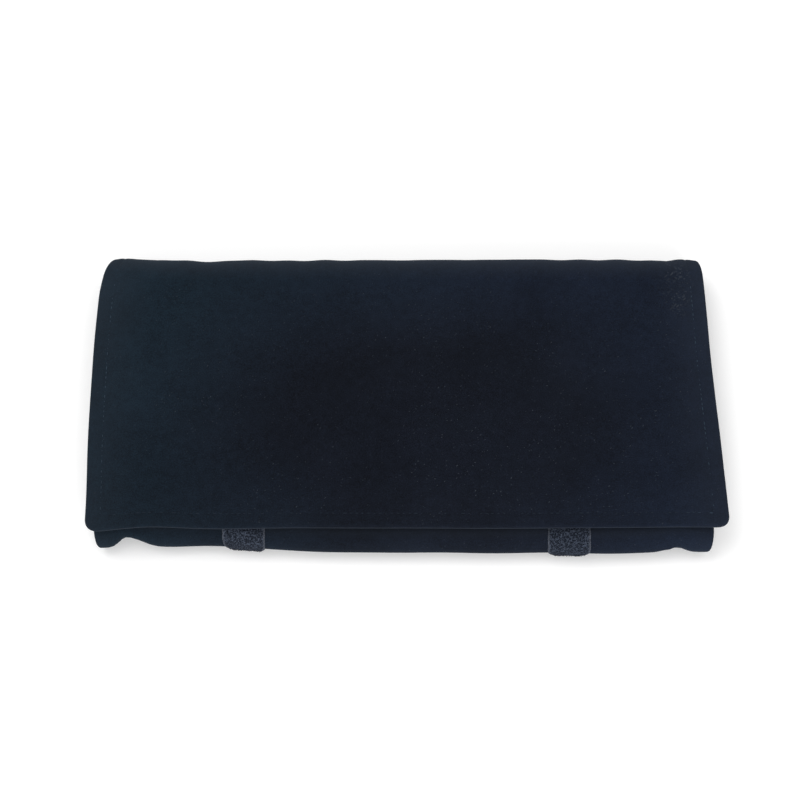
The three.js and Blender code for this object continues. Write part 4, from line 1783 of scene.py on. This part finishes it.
@dataclass(frozen=True)
class ChainPocket:
    """Chain pocket inside the lower panel, gathered along its mouth, with elastic in its hem."""

    half: float = 120
    mouth: float = -58.2
    end: float = -16.2
    face: float = 9.05
    seam: float = 10.35
    seam_run: float = 3.5
    cloth: float = 0.6
    gather: float = 0.3
    gather_pitch: float = 8
    gather_drift: tuple[Span, ...] = ((1.6, 23), (0.9, 9.7))
    columns: int = 241
    rows: int = 30
    elastic_width: float = 7
    elastic_ribs: int = 7
    elastic_rows: int = 43
    rib_height: float = 0.1
    hem_gap: float = 0.2
    hem_rise: float = 0.25

    def build(self) -> None:
        """Builds and dresses the pocket, its elastic and its stitching."""
        x = np.linspace(-self.half, self.half, self.columns)
        net, hem = self.pocket_net(x), self.elastic_net(x)
        pocket = sheet_from_net("pocket_velvet", net, self.cloth, outer_up=False)
        ride(dress(pocket, *LINING, ["chain_pocket"]), "lower_panel")
        band = sheet_from_net("pocket_band", hem, self.cloth, outer_up=False)
        ride(dress(band, ELASTIC, Slot.ELASTIC, ["pocket_elastic"]), "lower_panel")
        sewn = [net[:, 2], net[:, -3], net[-2, 2:-2], hem[6], hem[-7]]
        FINE_STITCHES.sew_on("pocket_stitching", "lower_panel", sewn, DOWN)

    def pocket_net(self, x: Array) -> Array:
        """Places the pocket's face, which is sewn to the lining at its ends and behind."""
        across, along = np.meshgrid(x, np.linspace(self.mouth, self.end, self.rows))
        from_seams = np.minimum(self.half - np.abs(across), self.end - along)
        gathers = self.gathers(across) * ramp(along, start=-30, end=-56) + ramp(along, start=-40, end=-56)
        face = self.face + (self.seam - self.face) * ramp(from_seams, self.seam_run, 0)
        return np.stack([across, along, face + self.gather * gathers], axis=-1)

    def elastic_net(self, x: Array) -> Array:
        """Places the face of the ribbed elastic along the pocket's mouth."""
        back = self.mouth - self.hem_gap
        y = np.linspace(back - self.elastic_width, back, self.elastic_rows)
        across, along = np.meshgrid(x, y)
        from_middle = np.abs(along - y.mean()) / (self.elastic_width / 2)
        ribs = np.cos(math.tau * self.elastic_ribs * (along - y[0]) / self.elastic_width)
        face = self.face + self.gather * (1 + self.gathers(across))
        face = face + self.hem_rise * from_middle**4 + self.rib_height * ribs
        return np.stack([across, along, face], axis=-1)

    def gathers(self, x: Array) -> Array:
        """Gives the gathers along the pocket's mouth, of uneven width."""
        drift = sum(share * np.sin(x / length) for share, length in self.gather_drift)
        return np.sin(x * math.tau / self.gather_pitch + drift)


@dataclass
class LowerAssembly:
    """The panel that folds in from the front, with its loop tapes and its chain pocket."""

    shape: RollShape
    drape: FrontDrape
    foam: Padding = Padding("lower_padding", "lower_foam", "lower_panel", 1.4, 0.7, rows=14, columns=48, bevel=0.4)
    foam_gap: float = 0.25
    foam_front: float = -60.5
    pocket: ChainPocket = ChainPocket()
    tapes: tuple[LoopTape, LoopTape] = (
        LoopTape("left", -1, corners=((6.6, 12.5), (2.4, 8.5)), fluff=0.15),
        LoopTape("right", 1, corners=((4.4, 7.5), (5.8, 9.0)), fluff=0.05),
    )
    bend_lines: int = 23
    flat_lines: int = 10
    stitched_from: float = -66
    worn_bend: float = 0.06
    painted_crest_light: float = 0.2

    def rows(self, rings: Rings, pad: float) -> Rows:
        """Gives the lines from the front bend's lower part over its top to the free edge."""
        shape = self.shape
        degrees = np.linspace(shape.split, 90, self.bend_lines)
        y, z, out_y, out_z = shape.front.line(degrees)
        seam = ramp(degrees, start=-30, end=30)
        # Painted light over the front bend, most near its top under the flap's edge, where the flap's shadow falls.
        crest = self.painted_crest_light * hump(degrees, centre=73, spread=16)
        wear_and_painted_light = self.worn_bend * ramp(degrees, start=-60, end=-20) + crest
        bend = Rows.laid(y, z, (-out_y, -out_z), shape.lower_half, 0, seam, wear_and_painted_light)
        y = np.linspace(shape.front.crest(), shape.lower_free - shape.edge.inner, self.flat_lines + 1)[1:]
        padded = pad * ramp(y, start=-69, end=-57)
        flat = Rows.laid(y, shape.lower_top, (0, -1), shape.lower_half, padded)
        y = shape.lower_free - rings.inset
        free = Rows.laid(y, shape.lower_top, (0, -1), shape.lower_half, pad, edge=rings)
        return bend.then(flat).then(free.backwards())

    def build(self) -> None:
        """Builds and dresses the lower panel."""
        shape, edge, lay = self.shape, self.shape.edge, self.drape.lay
        carry = shape.front_to_lower().carry
        rings = edge.cover(padded=False)
        panel = Panel(edge, rings, self.rows(rings, 0), shape.lower_free, -1)
        cover = lay(panel.net())
        velvet_sheet("lower_velvet", cover, COVER, "lower_cover", Hold.FOLDED, carry, rub=panel.rub())

        rings = edge.lining(padded=True)
        panel = Panel(edge, rings, self.rows(rings, shape.lower_pad), shape.lower_free, -1)
        lining = lay(panel.net())
        how = {"outer_up": False, "held": panel.held()}
        velvet_sheet("lower_inner", lining, LINING, "lower_lining", Hold.FOLDED, carry, **how)

        free = len(lining) - 1 - edge.seam_index(rings)
        first = int(np.argmax(lining[:, lining.shape[1] // 2, 1] > self.stitched_from))
        lines = panel.seams(lining, slice(first, free + 1), free)
        INNER_STITCHES.sew_on("lower_stitching", "lower_panel", lines, DOWN)
        along = (self.foam_front, shape.lower_free - shape.foam_inset)
        top = shape.lower_top - VELVET_THICKNESS - self.foam_gap
        self.foam.build(shape.lower_half - shape.foam_inset, along, top)
        for tape in self.tapes:
            tape.build(shape, self.drape)
        self.pocket.build()


@dataclass
class StrapAssembly:
    """The padded rail and the necklace straps, each with its press stud."""

    count: int = 8
    pitch: float = 242 / 7
    width: float = 12
    root: float = 61.8
    snap: float = 27.8
    underside: float = 9.2
    thickness: float = 1.4
    crown: float = 0.2
    crown_drop: float = 0.15
    snap_dent: float = 0.3
    fill: float = 0.3
    seam: float = 1.5
    stitch_lifts: Span = (1.41, 0.12)
    end_turn: float = 86
    end_lines: int = 12
    side_lines: int = 23
    columns: int = 17
    cap_gap: float = 0.12
    socket_reach: Span = (-3.0, -0.1)
    stud_seat: float = 5.0
    rail_length: float = 260
    rail_depth: float = 8
    rail_floor: float = 5.0
    rail_height: float = 3.9
    rail_fill: float = 0.7
    rail_cuts: int = 64
    rail_end_cuts: tuple[float, ...] = (0.15, 0.5, 1.1, 1.9, 2.9)
    rail_tip: float = 0.12
    rail_round: float = 4
    rail_unevenness: float = 0.03
    rail_squareness: float = 0.8
    rail_fullness: float = 0.85
    rail_tip_lift: float = 0.35

    def build(self) -> None:
        """Builds and dresses the rail, the straps and the press studs."""
        self.rail()
        strap, thread = self.strap(), self.strap_thread()
        cap, socket, stud = self.cap(), self.socket(), self.stud()
        for number in range(1, self.count + 1):
            x = (number - (self.count + 1) / 2) * self.pitch
            body = f"strap_{number}"
            parts = (
                ("strap_velvet", strap, *LINING, body, [f"strap_{number}"]),
                ("strap_stitching", thread, THREAD, None, body, []),
                ("cap_steel", cap, STEEL, Slot.STEEL, body, [f"snap_cap_{number}"]),
                ("socket_steel", socket, STEEL, Slot.STEEL, body, [f"snap_socket_{number}"]),
                ("stud_steel", stud, STEEL, Slot.STEEL, "base", [f"snap_stud_{number}"]),
            )
            for name, pattern, finish, slot, rides_on, nodes in parts:
                piece = copy_to(f"{name}_{number}", pattern, Matrix.Translation((x * MM, 0, 0)))
                piece.data.name = piece.name
                ride(dress(piece, finish, slot, nodes), rides_on)
        for pattern in (strap, thread, cap, socket, stud):
            bpy.data.objects.remove(pattern, do_unlink=True)

    def rail(self) -> None:
        """Builds the stuffed rail that the straps are sewn to."""
        end = self.rail_length / 2
        rail = rod("rail_velvet", vertices=28, radius=1, length=self.rail_length * MM)
        ends = [side * (end - inset) for side in SIDES for inset in self.rail_end_cuts]
        with editing(rail):
            for cut in (0, *np.linspace(-end, end, self.rail_cuts + 2)[1:-1], *ends):
                bpy.ops.mesh.select_all(action="SELECT")
                bpy.ops.mesh.bisect(plane_co=(cut * MM, 0, 0), plane_no=(1, 0, 0))
        middle, half = self.root - self.rail_depth / 2, self.rail_depth / 2
        unevenness = Ripples(seed=61, shortest=9, longest=30)
        for vertex in rail.data.vertices:
            x = vertex.co.x / MM
            rounding = math.sqrt(max(0, 1 - max(0, 1 - (end - abs(x)) / self.rail_round) ** 2))
            taper = self.rail_tip + (1 - self.rail_tip) * rounding
            ripple = 1 + self.rail_unevenness * float(unevenness.at(np.array(x), np.array(0.0)))
            size = taper * min(ripple, 1)
            squared = math.copysign(abs(vertex.co.y) ** self.rail_squareness, vertex.co.y)
            rise = ((vertex.co.z + 1) / 2) ** self.rail_fullness
            lift = (1 - taper) * self.rail_height * self.rail_tip_lift
            vertex.co.y = (middle + squared * half * size) * MM
            vertex.co.z = (self.rail_floor + lift + rise * self.rail_height * size) * MM
        smooth(rail, degrees=60)
        ride(dress(rail, *LINING, ["strap_rail"]), "base")

    def strap_rows(self) -> tuple[Array, Array]:
        """Gives the places along a strap and its half width there, with a round free end."""
        half = self.width / 2
        turn = np.radians(np.linspace(self.end_turn, 0, self.end_lines))
        straight = np.linspace(self.snap, self.root, self.side_lines + 1)[1:]
        y = np.concatenate([self.snap - half * np.sin(turn), straight])
        return y, np.concatenate([half * np.cos(turn), np.full(self.side_lines, half)])

    def strap(self) -> Piece:
        """Models one strap: velvet folded round a thin stiffener."""
        y, half = self.strap_rows()
        share = np.sin(np.linspace(-math.pi / 2, math.pi / 2, self.columns))
        x = half[:, None] * share
        crown = self.crown * (1 - share**4) * (1 - self.snap_dent * hump(y, self.snap, spread=4.2))[:, None]
        body = self.thickness - self.crown_drop
        net = np.stack([x, y[:, None] * np.ones_like(x), self.underside + body + crown], axis=-1)
        piece = sheet_from_net("strap", net, body)
        rounded(piece, width=0.45, segments=3, angle_limit=math.radians(50))
        smooth(piece, degrees=60)
        return piece

    def strap_thread(self) -> Piece:
        """Sews one strap's stitching, just inside its edge, on both faces."""
        y, half = self.strap_rows()
        inside = 1 - self.seam / (self.width / 2)
        pulled = self.snap + (y - self.snap) * np.where(y < self.snap, inside, 1)
        lines = []
        for lift, up in zip(self.stitch_lifts, (UP, DOWN)):
            z = np.full(len(y), self.underside + lift)
            left, right = (np.stack([side * half * inside, pulled, z], axis=-1) for side in SIDES)
            lines.append((np.concatenate([left[::-1][1:], right[:-1]]), up))
        return FINE_STITCHES.sew("strap_thread", lines)

    def cap(self) -> Piece:
        """Turns one press stud's domed cap."""
        seat = self.underside + self.thickness + self.cap_gap
        dome = [(0, 1.42), (1.6, 1.38), (3.1, 1.2), (4.3, 0.92), (5.1, 0.56), (5.45, 0.28), (5.4, 0.06), (5.0, 0)]
        return self.at_snap("cap", [*dome, (0, 0)], seat)

    def socket(self) -> Piece:
        """Turns one press stud's socket, a rolled ring under the strap."""
        low, high = self.socket_reach
        ring = [(2.45, low + 0.3), (2.7, low), (3.4, low + 0.05), (3.7, low + 0.5), (3.75, high - 0.9)]
        flange = [(4.9, high - 0.7), (5.0, high - 0.35), (4.8, high), (2.45, high), (2.45, low + 0.3)]
        return self.at_snap("socket", [*ring, *flange], self.underside)

    def stud(self) -> Piece:
        """Turns one press stud's post on its flange."""
        flange = [(0, 0), (4.8, 0), (5.0, 0.25), (4.8, 0.6), (3.2, 0.85), (2.0, 0.95)]
        post = [(1.75, 1.3), (1.85, 1.9), (2.1, 2.2), (2.0, 2.55), (1.5, 2.75), (0, 2.8)]
        return self.at_snap("stud", [*flange, *post], self.stud_seat)

    def at_snap(self, name: str, profile: Sequence[Span], seat: float) -> Piece:
        """Turns a profile, with its heights from a seat, into a piece on the straps' snap line."""
        piece = turned(name, [(radius, seat + height) for radius, height in profile])
        piece.data.transform(Matrix.Translation((0, self.snap * MM, 0)))
        return piece


# Studio


@dataclass(frozen=True)
class Lamp:
    """A soft square lamp that looks at the roll, with its place and side in metres and its power in watts."""

    name: str
    place: Place
    size: float
    power: float

    def build(self) -> None:
        """Adds the lamp."""
        light = bpy.data.lights.new(self.name, "AREA")
        light.size = self.size
        light.energy = self.power
        lamp = placed(self.name, light)
        lamp.location = self.place
        lamp.rotation_euler = (-Vector(self.place)).to_track_quat("-Z", "Y").to_euler()


@dataclass
class Studio:
    """A pale floor, soft light from above and from the left, and the camera."""

    camera_place: Place = (-0.7, -478.5, 777.4)
    elevation: float = 58.04
    focal_pixels: float = 1888
    image_pixels: int = 800
    sensor: float = 36
    floor_size: float = 6
    floor_drop: float = 0.0002
    floor_shade: float = 0.86
    floor_lift: float = 0.2
    sky: float = 0.72
    lamps: tuple[Lamp, ...] = (
        Lamp("key", (-0.65, 0.35, 1.4), size=1.3, power=9),
        Lamp("fill", (0.2, -1.4, 0.45), size=1.2, power=18),
    )

    def build(self) -> None:
        """Builds the floor, the lights and the camera."""
        scene = bpy.context.scene
        scene.view_settings.view_transform = "Standard"
        self.floor()
        self.world(scene)
        for lamp in self.lamps:
            lamp.build()
        self.camera(scene)

    def floor(self) -> None:
        """Adds the floor, which shows white beyond the shadow."""
        bpy.ops.object.select_all(action="DESELECT")
        bpy.ops.mesh.primitive_plane_add(size=self.floor_size, location=(0, 0, -self.floor_drop))
        floor = added("studio_floor")
        settle(floor)
        paint = bpy.data.materials.new("studio floor")
        paint.use_nodes = True
        shading = Shading(paint.node_tree)
        nodes = paint.node_tree.nodes
        nodes.remove(nodes["Principled BSDF"])
        matt = shading.node("BsdfDiffuse", {"Color": (*(self.floor_shade,) * 3, 1)}).outputs[0]
        lifted = shading.node("AddShader", {0: matt, 1: self.glow(shading, self.floor_lift)}).outputs[0]
        place = shading.node("TexCoord").outputs["Object"]
        away = shading.node("VectorMath", {0: place}, operation="LENGTH").outputs["Value"]
        far = shading.between(away, low=0.4, high=0.8)
        ground = shading.node("MixShader", {0: far, 1: lifted, 2: self.glow(shading, 1)}).outputs[0]
        both = shading.node("MixShader", {0: self.seen(shading), 1: matt, 2: ground}).outputs[0]
        shading.link(both, nodes["Material Output"].inputs["Surface"])
        floor.data.materials.append(paint)

    @staticmethod
    def glow(shading: Shading, strength: float) -> Socket:
        """Gives a white glow."""
        return shading.node("Emission", {"Color": (1, 1, 1, 1), "Strength": strength}).outputs[0]

    @staticmethod
    def seen(shading: Shading) -> Socket:
        """Gives a value that is 1 where the camera sees a thing, straight or in a mirror or glass."""
        path = shading.node("LightPath").outputs
        return shading.most(path["Is Camera Ray"], path["Is Glossy Ray"], path["Is Transmission Ray"])

    def world(self, scene: bpy.types.Scene) -> None:
        """Fills the room with even light, and shows it white."""
        world = bpy.data.worlds.new("studio")
        world.use_nodes = True
        background = world.node_tree.nodes["Background"].inputs
        background["Color"].default_value = (1, 1, 1, 1)
        shading = Shading(world.node_tree)
        shading.link(shading.most(self.seen(shading), self.sky), background["Strength"])
        scene.world = world

    def camera(self, scene: bpy.types.Scene) -> None:
        """Adds the camera at the photograph's angle."""
        lens = bpy.data.cameras.new("camera")
        lens.sensor_width = self.sensor
        lens.lens = self.focal_pixels * self.sensor / self.image_pixels
        lens.clip_end = 10
        camera = placed("camera", lens)
        camera.location = Vector(self.camera_place) * MM
        camera.rotation_euler = (math.radians(90 - self.elevation), 0, 0)
        scene.camera = camera


def main() -> None:
    """Builds the roll's sub-assemblies in order, then the studio."""
    logging.basicConfig(level=logging.INFO, format="%(name)s: %(message)s")
    shape = RollShape()
    front_drape = FrontDrape()
    assemblies = (
        BaseAssembly(shape, front_drape),
        StrapAssembly(),
        LowerAssembly(shape, front_drape),
        FlapAssembly(shape, FlapDrape()),
    )
    for assembly in assemblies:
        LOG.info("building %s", type(assembly).__name__)
        assembly.build()
    Studio().build()


if __name__ == "__main__":
    main()
